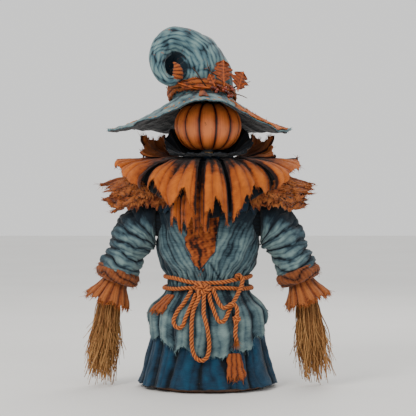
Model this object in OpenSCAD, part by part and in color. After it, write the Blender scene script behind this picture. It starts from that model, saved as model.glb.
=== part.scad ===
// Scarecrow figure for a table or a hearth: a weighted wooden base and post,
// a stuffed body in a tied tunic and robe, a ribbed pumpkin head that turns,
// a lift-off felt hat and two arms that swing at the shoulder and the elbow.
// Frame: origin at the middle of the underside, +Z up, the figure faces -Y.
// "Left" is the -X side, "right" the +X side.

/* [Base and post] */
// Radius of the wooden base
base_r = 100; // [96:1:101]
// Thickness of the wooden base
base_h = 18; // [15:1:20]
// Radius of the post
post_r = 8; // [7:0.5:9]
// Height of the top of the post
post_top = 458; // [450:1:460]

/* [Head and hat] */
// Height of the middle of the pumpkin
head_z = 441; // [440:1:443]
// Greatest radius of the pumpkin
head_r = 56; // [54:1:57]
// Half of the pumpkin's height
head_half_h = 45; // [44:1:46]
// Number of ribs on the pumpkin
rib_count = 12; // [10:1:14]
// Backward tilt of the hat, in degrees
hat_tilt = 17; // [14:1:19]
// Inner radius of the brim
brim_in_r = 52.5; // [52:0.5:54]

/* [Arms] */
// Height of the shoulder axis
shoulder_z = 278; // [276:1:280]
// Distance of the elbow from the middle
elbow_x = 139; // [138:1:141]
// Height of the elbow axis
elbow_z = 228; // [226:1:230]
// Half of the wedge left free in front of each elbow, in degrees
elbow_wedge = 42; // [41:0.5:45]

/* [Cloth and rope] */
// Thickness of the cloth shells
cloth_t = 3; // [2.5:0.5:3]
// Radius of the rope
rope_r = 3.5; // [3:0.25:3.5]
// Number of sides of the cloth shells
cloth_sides = 32; // [24:4:40]

/* [Hidden] */

fit_gap = 0.06;     // running clearance on the post and the bolts, per side
piece_gap = 0.5;    // between a shell and what fills it
pad_h = 2;
base_top = pad_h + base_h;
flange_r = 34;
flange_h = 3;
socket_r = 12;
socket_top = base_top + 28;
bolt_r = 3;
elbow_bolt_r = 2.5;

// Outlines of the cloth shells, from the bottom up: [height, half width, half depth]
robe_rings = [[8, 118, 109], [45, 106, 88], [100, 92, 77], [135, 80, 65], [165, 64, 51]];
peplum_rings = [[82, 103, 90], [110, 104, 88], [134, 98, 80], [150, 82, 66], [162, 71, 57], [172, 69, 55.5]];
tunic_rings = [
    [173, 69, 55.5], [187, 68, 55], [197, 73, 58], [208, 80, 61], [224, 86, 63], [245, 86, 62],
    [262, 86, 60], [282, 87, 57], [306, 86, 50], [318, 76, 46], [326, 60, 42], [346, 29, 28]
];

// Arm points in the X-Z plane of the right arm
elbow = [elbow_x, 0, elbow_z];
wrist = [168, 0, 152];
hand_end = [183, 0, 24];

// The head opening of the hat and the middle line of its crown: [x, y, z, radius]
hat_at = [-8, 5, 481.5];
crown_line = [
    [-8, 5, 481.5, 51], [-11, 11.5, 504, 53], [-17, 15, 528, 56], [-26, 14, 552, 50], [-40, 8, 573, 38],
    [-57, -4, 583, 26], [-74, -18, 576, 18], [-84, -30, 557, 13], [-83, -38, 537, 10],
    [-73, -43, 521, 8.5], [-60, -46, 516, 7.5], [-51, -48, 523, 6.5], [-50, -49, 533, 5.5]
];
crown_hollow_rings = 6; // how far up the crown is hollow, in rings

// Routes of the free rope, in front of the peplum
left_route = [
    [-27, -68, 168], [-31, -68, 161], [-36, -69, 153], [-42, -72, 144], [-49, -76, 136], [-54, -78, 127],
    [-57, -80, 118], [-54, -83, 110], [-47, -86, 107], [-41, -87, 112], [-38, -86, 121],
    [-34, -83, 130], [-30, -79, 139], [-26, -75, 147], [-23, -71, 155], [-20, -68, 162]
];
centre_route = [
    [-14, -76, 162], [-16, -79, 154], [-20, -82, 146], [-24, -86, 136], [-26, -90, 125], [-27, -93, 113],
    [-27, -95, 100], [-27, -95, 87], [-26, -95, 75], [-23, -95, 64], [-17, -95, 56], [-10, -95, 54],
    [-3, -95, 58], [1, -95, 68], [2, -95, 80], [1, -95, 93], [-1, -95, 106], [-4, -94, 119],
    [-7, -90, 131], [-7, -84, 143], [-7, -79, 154], [-6, -76, 164]
];
right_route = [
    [2, -73, 165], [3, -76, 155], [6, -80, 145], [10, -84, 135], [14, -88, 125], [19, -90, 118],
    [25, -89, 118], [30, -86, 124], [34, -81, 133], [39, -75, 143], [45, -68, 153], [50, -61, 162],
    [54, -54, 170], [57, -49, 178], [57, -48, 186], [52, -49, 192], [46, -53, 190]
];
tail_route = [
    [6, -72, 172], [11, -72, 163], [15, -76, 154], [20, -81, 145], [26, -84, 140], [32, -84, 142],
    [38, -84, 146], [44, -82, 145], [48, -82, 138], [48, -84, 129], [47, -86, 121], [46, -88, 110],
    [45, -89, 98], [47, -89, 86]
];
tail_knot_at = [47, -86, 121];
tail_knot_r = 6.5;

// ---- shape helpers ----

function unit(v) = v / norm(v);
function mix(a, b, t) = a + (b - a) * t;
function backwards(list) = [for (i = [len(list) - 1 : -1 : 0]) list[i]];
function sum_of(ring, k, i = 0) = i == len(ring) ? 0 : ring[i][k] + sum_of(ring, k, i + 1);
function ring_middle(ring) = [for (k = [0:2]) sum_of(ring, k) / len(ring)];

// A ring of points on an ellipse at one height.
function level_ring(z, rx, ry, n = cloth_sides) =
    [for (i = [0 : n - 1]) [rx * cos(360 * i / n), ry * sin(360 * i / n), z]];

// A ring of points round a direction. side is the direction in which sin grows.
function turned_ring(at, dir, r, n, side = [0, 1, 0]) =
    let (u = unit(cross(side, dir)), v = cross(unit(dir), u))
    [for (i = [0 : n - 1]) at + r * (u * cos(360 * i / n) + v * sin(360 * i / n))];

// Closed solid through rings of equally many points. joined closes the last ring to the first.
// strip caps thin bent rings, whose second half runs back along the first, from side to side.
module loft(rings, joined = false, strip = false) {
    n = len(rings[0]);
    m = len(rings);
    sides = [
        for (j = [0 : m - (joined ? 1 : 2)], i = [0 : n - 1])
        let (k = (j + 1) % m, i2 = (i + 1) % n)
        each [[j * n + i, k * n + i, k * n + i2], [j * n + i, k * n + i2, j * n + i2]]
    ];
    last = (m - 1) * n;
    ends = joined || strip ? [] : [ring_middle(rings[0]), ring_middle(rings[m - 1])];
    caps = joined ? [] : strip ? [
        for (i = [0 : n / 2 - 2])
        let (a = n - 1 - i, b = n - 2 - i)
        each [
            [i, i + 1, b], [i, b, a],
            [last + i + 1, last + i, last + a], [last + i + 1, last + a, last + b]
        ]
    ] : [
        for (i = [0 : n - 1])
        let (i2 = (i + 1) % n)
        each [[m * n, i, i2], [m * n + 1, (m - 1) * n + i2, (m - 1) * n + i]]
    ];
    polyhedron(points = concat([for (r = rings) each r], ends), faces = concat(sides, caps), convexity = 8);
}

// Shell of cloth between two offsets of an outline of [height, half width, half depth].
// hem is how far the lowest edge falls at the front.
module cloth_shell(outline, outer = 0, inner = -cloth_t, hem = 0) {
    function edge(o) = o[0] == outline[0][0] ? hem : 0;
    function ring(o, off) = [
        for (p = level_ring(o[0], o[1] + off, o[2] + off))
        p - [0, 0, edge(o) * pow(max(0, -p[1] / (o[2] + off)), 3)]
    ];
    loft(concat(
        [for (o = outline) ring(o, outer)],
        [for (o = backwards(outline)) ring(o, inner)]
    ), joined = true);
}

// Solid that fills an outline, gap inside the inner face of its shell.
module filling(outline) {
    shrink = cloth_t + piece_gap;
    loft([for (o = outline) level_ring(o[0], o[1] - shrink, o[2] - shrink)]);
}

// Round tube through a list of points.
module tube(route, r, n = 8) {
    last = len(route) - 1;
    loft([
        for (i = [0 : last])
        turned_ring(route[i], route[min(i + 1, last)] - route[max(i - 1, 0)], r, n)
    ]);
}

// Closed rope ring round the waist. dip lowers it at the front.
module rope_ring(z, rx, ry, dip) {
    n = 28;
    function at(i) = [
        rx * cos(360 * i / n), ry * sin(360 * i / n),
        z - dip * pow(max(0, -sin(360 * i / n)), 4)
    ];
    loft([for (i = [0 : n - 1]) turned_ring(at(i), at(i + 1) - at(i - 1), rope_r, 8, [0, 0, 1])], joined = true);
}

// Places children's +Z axis along the line from a to b, starting at a.
module along(a, b) {
    d = b - a;
    translate(a) rotate([0, acos(d[2] / norm(d)), atan2(d[1], d[0])]) children();
}

module rod(a, b, r) {
    along(a, b) cylinder(r = r, h = norm(b - a), $fn = 32);
}

// Cylinder along X from x0 to x1.
module x_pin(x0, x1, y, z, r, sides = 48) {
    translate([x0, y, z]) rotate([0, 90, 0]) cylinder(r = r, h = x1 - x0, $fn = sides);
}

module both_sides() {
    children();
    mirror([1, 0, 0]) children();
}

// ---- base and post ----

screw_circle_r = 26;
screw_r = 1.5;

module at_flange_screws() {
    for (a = [45 : 90 : 315]) rotate(a) translate([screw_circle_r, 0, 0]) children();
}

module felt_pad() {
    color("dimgray") cylinder(r = base_r - 6, h = pad_h, $fn = 96);
}

module base_disc() {
    chamfer = 3;
    color("saddlebrown") difference() {
        translate([0, 0, pad_h]) rotate_extrude($fn = 128) polygon([
            [0, 0], [base_r - 1, 0], [base_r, 1], [base_r, base_h - chamfer],
            [base_r - chamfer, base_h], [0, base_h]
        ]);
        at_flange_screws() translate([0, 0, base_top - 12]) cylinder(r = screw_r + 0.1, h = 13, $fn = 24);
    }
}

module post_flange() {
    color("gray") difference() {
        union() {
            translate([0, 0, base_top]) cylinder(r = flange_r, h = flange_h, $fn = 64);
            translate([0, 0, base_top]) cylinder(r = socket_r, h = socket_top - base_top, $fn = 48);
        }
        translate([0, 0, base_top - 1]) cylinder(r = post_r + 0.1, h = 40, $fn = 48);
        at_flange_screws() translate([0, 0, base_top - 1]) cylinder(r = screw_r + 0.4, h = 6, $fn = 24);
        translate([0, 0, socket_top - 9]) rotate([-90, 0, 0]) cylinder(r = 2.1, h = 30, $fn = 24);
    }
}

module flange_screws() {
    top = base_top + flange_h;
    color("silver") at_flange_screws() {
        translate([0, 0, base_top - 11]) cylinder(r = screw_r, h = top - base_top + 11, $fn = 24);
        translate([0, 0, top]) cylinder(r = 3.4, h = 2, $fn = 24);
    }
}

module socket_screw() {
    color("silver") translate([0, 0, socket_top - 9]) rotate([-90, 0, 0]) {
        translate([0, 0, post_r + 0.1]) cylinder(r = 2, h = 6, $fn = 24);
        translate([0, 0, socket_r + 0.3]) cylinder(r = 4.5, h = 4, $fn = 32);
    }
}

module post() {
    color("burlywood") translate([0, 0, base_top]) cylinder(r = post_r, h = post_top - base_top, $fn = 64);
}

// ---- body frame and stuffing ----

crossbar_half = [79, 12, 9];
hub_out_x = [94, 106]; // the shoulder hub of each arm, from the inside to the outside

module crossbar() {
    color("tan") difference() {
        translate([0, 0, shoulder_z]) cube(2 * crossbar_half, center = true);
        cylinder(r = post_r + 0.1, h = 400, $fn = 64);
        translate([0, 0, shoulder_z]) rotate([-90, 0, 0]) cylinder(r = 2.1, h = 20, $fn = 24);
        both_sides() x_pin(55, 90, 0, shoulder_z, bolt_r + 0.1);
    }
}

module crossbar_screw() {
    color("silver") translate([0, 0, shoulder_z]) rotate([-90, 0, 0]) {
        translate([0, 0, post_r + 0.1]) cylinder(r = 2, h = crossbar_half[1] - post_r, $fn = 24);
        translate([0, 0, crossbar_half[1]]) cylinder(r = 4, h = 2.4, $fn = 32);
    }
}

module shoulder_bolts() {
    color("silver") both_sides() x_pin(56, 119, 0, shoulder_z, bolt_r);
}

module shoulder_washers() {
    color("gainsboro") both_sides() for (x = [hub_out_x[0] - 1.8, hub_out_x[1] + 0.2]) difference() {
        x_pin(x, x + 1.6, 0, shoulder_z, 7.5);
        x_pin(x - 1, x + 3, 0, shoulder_z, bolt_r + 0.2);
    }
}

module shoulder_wing_nuts() {
    x = hub_out_x[1] + 2;
    color("silver") both_sides() difference() {
        union() {
            x_pin(x, x + 6, 0, shoulder_z, 5.5);
            for (s = [-1, 1]) translate([x + 5, s * 7.5, shoulder_z]) cube([2.4, 7, 5], center = true);
        }
        x_pin(x - 1, x + 8, 0, shoulder_z, bolt_r + 0.1);
    }
}

module skirt_stuffing() {
    bottom = base_top + 0.3;
    color("linen") difference() {
        filling([[bottom, 111, 98], for (k = [1 : len(robe_rings) - 1]) robe_rings[k]]);
        cylinder(r = flange_r + 2, h = socket_top + 3, $fn = 64);
        cylinder(r = post_r + 0.4, h = 200, $fn = 64);
    }
}

module torso_stuffing() {
    clear = crossbar_half + [0, 0.6, 0.6];
    color("linen") difference() {
        filling(concat([[168, 69, 55]], tunic_rings));
        translate([0, 0, 150]) cylinder(r = post_r + 0.4, h = 250, $fn = 64);
        translate([0, 0, shoulder_z]) cube([220, 2 * clear[1], 2 * clear[2]], center = true);
        translate([0, 0, shoulder_z]) rotate([-90, 0, 0]) cylinder(r = 6, h = 22, $fn = 32);
    }
}

// ---- clothes ----

module robe() {
    color("midnightblue") cloth_shell(robe_rings);
}

module peplum() {
    color("slategray") cloth_shell(peplum_rings, hem = 20);
}

// Prism over the open neck of the tunic, at the front. grow widens it.
module neck_opening(grow = 0) {
    rotate([90, 0, 0]) linear_extrude(height = 100)
        polygon([
            [-14, 203 - grow], [-34 - grow, 243], [-26 - grow, 300 + grow],
            [18 + grow, 300 + grow], [9 + grow, 232]
        ]);
}

module tunic() {
    color("slategray") difference() {
        cloth_shell(tunic_rings);
        neck_opening(0.4);
        both_sides() x_pin(70, 100, 0, shoulder_z, 11);
    }
}

module undershirt() {
    color("sienna") intersection() {
        cloth_shell(tunic_rings);
        neck_opening();
    }
}

module waist_patch() {
    color("peru") intersection() {
        cloth_shell(peplum_rings, outer = 2.4, inner = 0.4);
        rotate([90, 0, 0]) linear_extrude(height = 100) polygon([[-78, 156], [-84, 140], [-70, 134], [-56, 140], [-54, 158]]);
    }
}

module robe_patch() {
    color("peru") intersection() {
        cloth_shell(robe_rings, outer = 2.2, inner = 0.4);
        rotate([90, 0, 0]) linear_extrude(height = 100) polygon([[34, 64], [28, 48], [30, 30], [54, 28], [58, 46], [50, 62]]);
    }
}

module neck_cowl() {
    color("midnightblue") rotate_extrude($fn = 64) polygon([
        [post_r + 1.5, 347], [28, 347], [40, 360], [44, 372], [44, 388], [39, 394], [28, 396.5], [post_r + 1.5, 390]
    ]);
}

// ---- collar ----

collar_in_r = 45.5;
collar_z = 386;
petal_t = 2.4;

// One petal between two angles round the neck. reach is the outer radius and drop the fall
// of the outer edge, each at the first and the last angle.
module petal(angles, reach, drop, root_z = collar_z) {
    rows = 6;
    across = 8;
    function at(u, t, up) =
        let (a = mix(angles[0], angles[1], t), r = mix(collar_in_r, mix(reach[0], reach[1], t), sin(90 * u)))
        [r * cos(a), r * sin(a), root_z - mix(drop[0], drop[1], t) * (1 - cos(90 * u)) + up];
    function slice(t) = concat(
        [for (j = [0 : rows]) at(j / rows, t, petal_t)],
        [for (j = [rows : -1 : 0]) at(j / rows, t, 0)]
    );
    loft([for (k = [0 : across]) slice(k / across)], strip = true);
}

module collar_front_petals() {
    color("chocolate") {
        petal([212, 262], [106, 104], [60, 92]);
        petal([272, 289], [104, 104], [104, 106]);
        petal([291, 328], [104, 106], [98, 60]);
        petal([240, 272], [86, 88], [96, 104], collar_z - 10);
    }
}

module collar_side_petals() {
    color("chocolate") {
        petal([168, 210], [160, 132], [6, 42]);
        petal([330, 372], [132, 160], [42, 6]);
    }
}

module collar_back_petals() {
    color("sienna") {
        petal([131, 165], [120, 114], [-42, -34]);
        petal([15, 49], [114, 120], [-34, -42]);
        petal([51, 75], [104, 104], [40, 70]);
        petal([77, 103], [104, 104], [74, 74]);
        petal([105, 129], [104, 104], [70, 40]);
    }
}

module shoulder_tufts() {
    stations = [[66, 330, 6, 20], [84, 331, 11, 28], [110, 335, 14, 34], [140, 341, 13, 34], [166, 347, 7, 26]];
    color("sienna") both_sides() loft([
        for (s = stations) [
            for (i = [0 : 15])
            [s[0] - 0.3 * s[2] * sin(22.5 * i), s[3] * cos(22.5 * i), s[1] + s[2] * sin(22.5 * i)]
        ]
    ]);
}

// ---- rope belt ----

belt_gap = 0.6;

module belt_upper_turn() {
    r = rope_r + belt_gap;
    color("peru") rope_ring(187, 69 + r, 56 + r, 8);
}

module belt_lower_turn() {
    r = rope_r + belt_gap;
    color("peru") rope_ring(168, 70.5 + r, 56.5 + r, -3);
}

module rope_knot() {
    color("peru") hull() {
        translate([-18, -69, 168]) sphere(r = 10, $fn = 24);
        translate([-2, -69, 173]) sphere(r = 10, $fn = 24);
    }
}

module rope_loop_left() {
    color("peru") tube(left_route, rope_r);
}

module rope_loop_centre() {
    color("peru") tube(centre_route, rope_r);
}

module rope_loop_right() {
    color("peru") tube(right_route, rope_r);
}

module rope_tail() {
    color("peru") tube(tail_route, rope_r);
}

module tail_knot() {
    color("peru") translate(tail_knot_at) sphere(r = tail_knot_r, $fn = 32);
}

// ---- head ----

flat_t = 0.94; // where the pumpkin's curve ends in a flat, as a share of its half height
bush_r = 11;
stem_h = 12;

function head_radius(t) = head_r * pow(1 - pow(abs(t), 2.5), 0.4);

module pumpkin() {
    n = rib_count * 5;
    levels = [-flat_t, -0.8, -0.55, -0.25, 0, 0.25, 0.55, 0.8, flat_t];
    function at(t, a) =
        let (r = head_radius(t) * (1 - 0.06 * pow(1 - abs(sin(a * rib_count / 2)), 2)))
        [r * cos(a), r * sin(a), head_z + head_half_h * t];
    color("chocolate") difference() {
        loft([for (t = levels) [for (i = [0 : n - 1]) at(t, 360 * i / n)]]);
        translate([0, 0, 380]) cylinder(r = bush_r + 0.05, h = post_top + 3.2 - 380, $fn = 48);
    }
}

module pumpkin_stem() {
    top = head_z + flat_t * head_half_h;
    color("olivedrab") translate([0, 0, top + 0.1]) cylinder(r1 = 8, r2 = 6, h = stem_h, $fn = 32);
}

module neck_bush() {
    bottom = head_z - flat_t * head_half_h;
    color("ivory") difference() {
        translate([0, 0, bottom]) cylinder(r = bush_r, h = post_top + 3 - bottom, $fn = 48);
        translate([0, 0, bottom - 1]) cylinder(r = post_r + fit_gap, h = post_top + 0.1 - bottom + 1, $fn = 64);
    }
}

// ---- hat ----

brim_t = 2.6;
brim_low_z = 434;
felt_t = 2.4;

// A point on the tilted head opening, at radius r and angle a.
function opening_point(a, r) =
    hat_at + [r * cos(a), r * sin(a) * cos(hat_tilt), -r * sin(a) * sin(hat_tilt)];

// The outer edge of the brim: low at the sides and the back, raised at the front.
function brim_edge(a) = [
    (cos(a) > 0 ? 141 : 169) * cos(a),
    (sin(a) > 0 ? 132 : 118) * sin(a),
    brim_low_z - 1 + 2 * max(0, -cos(a)) + 46 * pow(max(0, -sin(a)), 5)
];

module hat_brim() {
    n = 40;
    rows = 5;
    function at(a, u, up) =
        let (p = opening_point(a, brim_in_r), q = brim_edge(a), s = 1 - pow(1 - u, 1.35))
        [mix(p[0], q[0], u), mix(p[1], q[1], u), mix(p[2], q[2], s) + up];
    function ring(u, up) = [for (i = [0 : n - 1]) at(360 * i / n, u, up)];
    color("slategray") loft(concat(
        [for (j = [0 : rows]) ring(j / rows, 0)],
        [for (j = [rows : -1 : 0]) ring(j / rows, brim_t)]
    ), joined = true);
}

module hat_crown() {
    n = 24;
    last = len(crown_line) - 1;
    function spot(i) = [for (k = [0:2]) crown_line[i][k]];
    function dir(i) = i == 0 ? [0, sin(hat_tilt), cos(hat_tilt)] : spot(min(i + 1, last)) - spot(i - 1);
    function crown_ring(i, shrink) = turned_ring(spot(i), dir(i), crown_line[i][3] - shrink, n);
    color("slategray") loft(concat(
        [for (i = [crown_hollow_rings - 1 : -1 : 0]) crown_ring(i, felt_t)],
        [for (i = [0 : last]) crown_ring(i, 0)]
    ));
}

module hat_band() {
    up = [0, sin(hat_tilt), cos(hat_tilt)];
    n = 32;
    function band_ring(h, r) = turned_ring(hat_at + h * up + [-0.18 * h, 0, 0], up, r, n);
    color("sienna") loft([
        band_ring(8, 58), band_ring(22, 59), band_ring(22, 56.6), band_ring(8, 55.6)
    ], joined = true);
}

module hat_tip() {
    color("sienna") loft([
        for (k = [[-50.2, -49.1, 535.4, 5], [-51, -49.5, 539, 4.6], [-53, -50, 543, 3.4], [-56, -50.5, 545, 1.6]])
        turned_ring([k[0], k[1], k[2]], [-0.3, -0.05, 0.95], k[3], 12)
    ]);
}

// Outline of a lobed leaf of length 1 along +Y, with lobes on each side.
function leaf_outline(lobes, width) =
    let (half = [
        for (k = [0 : lobes * 2])
        let (t = k / (lobes * 2), w = width * sin(170 * t + 8) * (k % 2 == 0 ? 0.45 : 1))
        [w, 0.12 + 0.85 * t + (k % 2 == 0 ? 0 : 0.07)]
    ])
    concat([[0.025, 0]], half, [[0, 1]], [for (p = backwards(half)) [-p[0], p[1]]], [[-0.025, 0]]);

// One leaf standing at a point: back leans it away, lean turns it in its own plane.
module leaf(at, length, back, lean, yaw, lobes, width) {
    thick = 1.6;
    translate(at) rotate([0, 0, yaw]) rotate([90 - back, 0, 0]) rotate([0, 0, lean])
        translate([0, 0, -thick / 2]) linear_extrude(height = thick)
            polygon(length * leaf_outline(lobes, width));
}

module hat_leaves() {
    color("darkorange") {
        leaf([27, -39, 508], 44, 18, -4, 20, 4, 0.34);
        leaf([52, -28, 500], 36, 10, -22, 40, 3, 0.42);
        leaf([-20, -53, 502], 30, 0, 72, -4, 1, 0.16);
        leaf([3, -55.5, 504], 28, 0, 84, 0, 1, 0.15);
        rod([42.2, -22.2, 498.6], [52, -28, 500.6], 0.9);
    }
}

module hat_berries() {
    spots = [[8, -50, 505], [14, -48, 499], [20, -46, 507], [26, -42, 501], [33, -36, 497], [40, -29, 502]];
    color("firebrick") for (b = spots) translate(b) sphere(r = 3, $fn = 24);
}

module hat_twigs() {
    color("saddlebrown") {
        rod([-4, -49, 508], [-26, -46, 540], 1.1);
        rod([9, -47, 512], [-2, -42, 551], 0.9);
        rod([42, -16, 506], [72, 0, 518], 1);
        rod([-30, -47, 507], [-66, -49.5, 504], 1.1);
    }
}

// ---- arms: drawn for the right side, and mirrored for the left ----

upper_hub_x = [elbow_x - 8, elbow_x - 2];
lower_hub_x = [elbow_x - 1.6, elbow_x + 4.4];
link_rod_r = 4;
hub_r = 7;
upper_rod = [[98, 0, shoulder_z - 5], [elbow_x - 5, 0, elbow_z + 4]];
lower_rod_from = [elbow_x + 1.4, 0, elbow_z - 4];

module arm_upper_link() {
    color("silver") difference() {
        union() {
            x_pin(hub_out_x[0], hub_out_x[1], 0, shoulder_z, 8);
            x_pin(upper_hub_x[0], upper_hub_x[1], 0, elbow_z, hub_r);
            rod(upper_rod[0], upper_rod[1], link_rod_r);
        }
        x_pin(80, 120, 0, shoulder_z, bolt_r + fit_gap);
        x_pin(upper_hub_x[0] - 9, upper_hub_x[1] + 9, 0, elbow_z, elbow_bolt_r + fit_gap);
        x_pin(upper_hub_x[0] - 9, upper_hub_x[0], 0, elbow_z, 5.6);
    }
}

module arm_forearm_link() {
    color("silver") difference() {
        union() {
            x_pin(lower_hub_x[0], lower_hub_x[1], 0, elbow_z, hub_r);
            rod(lower_rod_from, wrist, link_rod_r);
            translate(wrist) sphere(r = link_rod_r + 1, $fn = 32);
            rod(wrist, mix(wrist, hand_end, 0.3), link_rod_r);
        }
        x_pin(upper_hub_x[0] - 9, lower_hub_x[1] + 9, 0, elbow_z, elbow_bolt_r + fit_gap);
        x_pin(upper_hub_x[0] - 9, lower_hub_x[0], 0, elbow_z, hub_r + 2);
        x_pin(lower_hub_x[1], lower_hub_x[1] + 9, 0, elbow_z, 5.8);
    }
}

module arm_elbow_bolt() {
    color("dimgray") {
        x_pin(upper_hub_x[0] - 3.1, upper_hub_x[0] - 0.1, 0, elbow_z, 5);
        x_pin(upper_hub_x[0] - 0.5, lower_hub_x[1] + 3.2, 0, elbow_z, elbow_bolt_r);
        x_pin(lower_hub_x[1] + 0.2, lower_hub_x[1] + 3.2, 0, elbow_z, 5, 6);
    }
}

// The room that the elbow's hubs and bolt turn in.
module elbow_cavity() {
    x_pin(upper_hub_x[0] - 4.5, lower_hub_x[1] + 5, 0, elbow_z, hub_r + 2);
}

// Cuts a sleeve at the elbow axis: level behind, and a wedge left free at the front. s = 1 keeps what is below.
module past_elbow(s) {
    far = 120;
    a = elbow_wedge;
    translate([60, 0, elbow_z]) rotate([90, 0, 90]) linear_extrude(height = 150) polygon([
        [0, -s * 0.6], [far, -s * 0.6], [far, s * far], [-far, s * far], [-far * cos(a), -s * far * sin(a)]
    ]);
}

module arm_upper_sleeve() {
    n = 24;
    stations = [
        [90, 278, 26, 1, 0], [95, 278, 32, 1, 0], [107, 275, 35, 0.8, -0.45], [119, 265, 36, 0.65, -0.76],
        [129, 249, 36, 0.45, -0.89], [135, 237, 33, 0.4, -0.92], [139, 228, 30, 0.4, -0.92], [143, 218, 31, 0.4, -0.92]
    ];
    color("slategray") difference() {
        loft([for (s = stations) turned_ring([s[0], 0, s[1]], [s[3], 0, s[4]], s[2], n)]);
        past_elbow(-1);
        x_pin(88, 121, 0, shoulder_z, 13.5);
        rod(upper_rod[0], upper_rod[1], link_rod_r + 0.4);
        elbow_cavity();
    }
}

forearm_dir = unit(wrist - elbow);

module arm_lower_sleeve() {
    stations = [[-10, 31], [0, 30], [13, 33], [24, 31], [27.5, 22.8], [50, 22.8]];
    color("slategray") difference() {
        loft([for (s = stations) turned_ring(elbow + s[0] * forearm_dir, forearm_dir, s[1], 24)]);
        past_elbow(1);
        rod(lower_rod_from, wrist, link_rod_r + 0.4);
        elbow_cavity();
    }
}

module arm_cuff_roll() {
    color("sienna") along(elbow, wrist) translate([0, 0, 41]) rotate_extrude($fn = 64) polygon([
        [23.4, -11], [30, -12.5], [35, -8], [36.5, 0], [35, 8], [30, 12.5], [23.4, 11]
    ]);
}

module arm_cuff_ruffle() {
    color("chocolate") along(elbow, wrist) rotate_extrude($fn = 64)
        polygon([[19, 55], [22, 55], [29, 70], [37, 88], [34, 88], [26, 70]]);
}

module arm_straw_hand() {
    rod_end = 42;
    color("tan") along(wrist, hand_end) rotate_extrude($fn = 48) polygon([
        [7.5, -8], [12, -8], [15, 4], [15, 12], [19, 50], [23, 95], [21, 129], [0, 129],
        [0, rod_end], [link_rod_r + 0.4, rod_end], [link_rod_r + 0.4, 3], [7.5, 3]
    ]);
}

module arm_hand_tie() {
    color("peru") along(wrist, hand_end) translate([0, 0, 8]) rotate_extrude($fn = 48)
        translate([17.4, 0]) circle(r = 2, $fn = 24);
}

module to_left() {
    mirror([1, 0, 0]) children();
}

base_disc();
felt_pad();
post_flange();
flange_screws();
socket_screw();
post();
skirt_stuffing();
torso_stuffing();
crossbar();
crossbar_screw();
shoulder_bolts();
shoulder_washers();
shoulder_wing_nuts();
robe();
peplum();
tunic();
undershirt();
waist_patch();
robe_patch();
neck_cowl();
collar_front_petals();
collar_side_petals();
collar_back_petals();
shoulder_tufts();
belt_upper_turn();
belt_lower_turn();
rope_knot();
rope_loop_left();
rope_loop_centre();
rope_loop_right();
rope_tail();
tail_knot();
pumpkin();
pumpkin_stem();
neck_bush();
hat_crown();
hat_brim();
hat_band();
hat_tip();
hat_leaves();
hat_berries();
hat_twigs();
arm_upper_link();  // right_upper_link
arm_forearm_link();  // right_forearm_link
arm_elbow_bolt();  // right_elbow_bolt
arm_upper_sleeve();  // right_upper_sleeve
arm_lower_sleeve();  // right_lower_sleeve
arm_cuff_roll();  // right_cuff_roll
arm_cuff_ruffle();  // right_cuff_ruffle
arm_straw_hand();  // right_straw_hand
arm_hand_tie();  // right_hand_tie
to_left() arm_upper_link();  // left_upper_link
to_left() arm_forearm_link();  // left_forearm_link
to_left() arm_elbow_bolt();  // left_elbow_bolt
to_left() arm_upper_sleeve();  // left_upper_sleeve
to_left() arm_lower_sleeve();  // left_lower_sleeve
to_left() arm_cuff_roll();  // left_cuff_roll
to_left() arm_cuff_ruffle();  // left_cuff_ruffle
to_left() arm_straw_hand();  // left_straw_hand
to_left() arm_hand_tie();  // left_hand_tie
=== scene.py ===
"""Visual model of a table scarecrow: pumpkin head, slouched felt hat, petal collar, roped tunic and straw hands.

Shapes are worked out in millimetres in the part's own frame (+Z up, the figure faces -Y, "left" is -X),
and become metres when a mesh is made.
"""

import logging
import math
from collections.abc import Callable, Sequence
from dataclasses import dataclass, field
from enum import Enum
from functools import cached_property

import bmesh
import bpy
import numpy as np
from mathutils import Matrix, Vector


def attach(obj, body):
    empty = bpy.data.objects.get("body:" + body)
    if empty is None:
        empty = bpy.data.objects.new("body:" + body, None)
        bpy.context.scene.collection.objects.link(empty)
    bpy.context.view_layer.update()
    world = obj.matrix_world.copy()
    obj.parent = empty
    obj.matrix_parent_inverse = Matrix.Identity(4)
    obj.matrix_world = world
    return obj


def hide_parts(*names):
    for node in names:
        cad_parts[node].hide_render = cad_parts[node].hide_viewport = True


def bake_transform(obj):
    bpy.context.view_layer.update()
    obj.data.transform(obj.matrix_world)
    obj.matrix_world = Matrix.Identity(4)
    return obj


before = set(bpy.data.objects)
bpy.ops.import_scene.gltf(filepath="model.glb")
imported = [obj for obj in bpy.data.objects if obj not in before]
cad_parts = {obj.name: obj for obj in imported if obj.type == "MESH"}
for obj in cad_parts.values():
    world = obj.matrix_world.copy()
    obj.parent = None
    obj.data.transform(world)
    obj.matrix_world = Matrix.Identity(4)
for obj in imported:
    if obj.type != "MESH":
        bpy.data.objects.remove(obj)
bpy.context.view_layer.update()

LOG = logging.getLogger("scarecrow")
MM = 0.001
TAU = 2 * math.pi

Grid = np.ndarray
Colour = tuple[float, float, float]


class Side(Enum):
    """The two arms and shoulders, by the sign of X."""

    LEFT = -1
    RIGHT = 1

    @property
    def word(self) -> str:
        """The side's name as the frame spells it."""
        return self.name.lower()


# ---------------------------------------------------------------------------
# numbers and curves
# ---------------------------------------------------------------------------


def shade(code: str) -> Colour:
    """Turns a web colour into linear light.

    Args:
        code: six hex digits.

    Returns:
        Red, green and blue from 0 to 1.
    """
    parts = [int(code[k : k + 2], 16) / 255 for k in (0, 2, 4)]
    return tuple(p / 12.92 if p <= 0.04045 else ((p + 0.055) / 1.055) ** 2.4 for p in parts)


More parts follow.
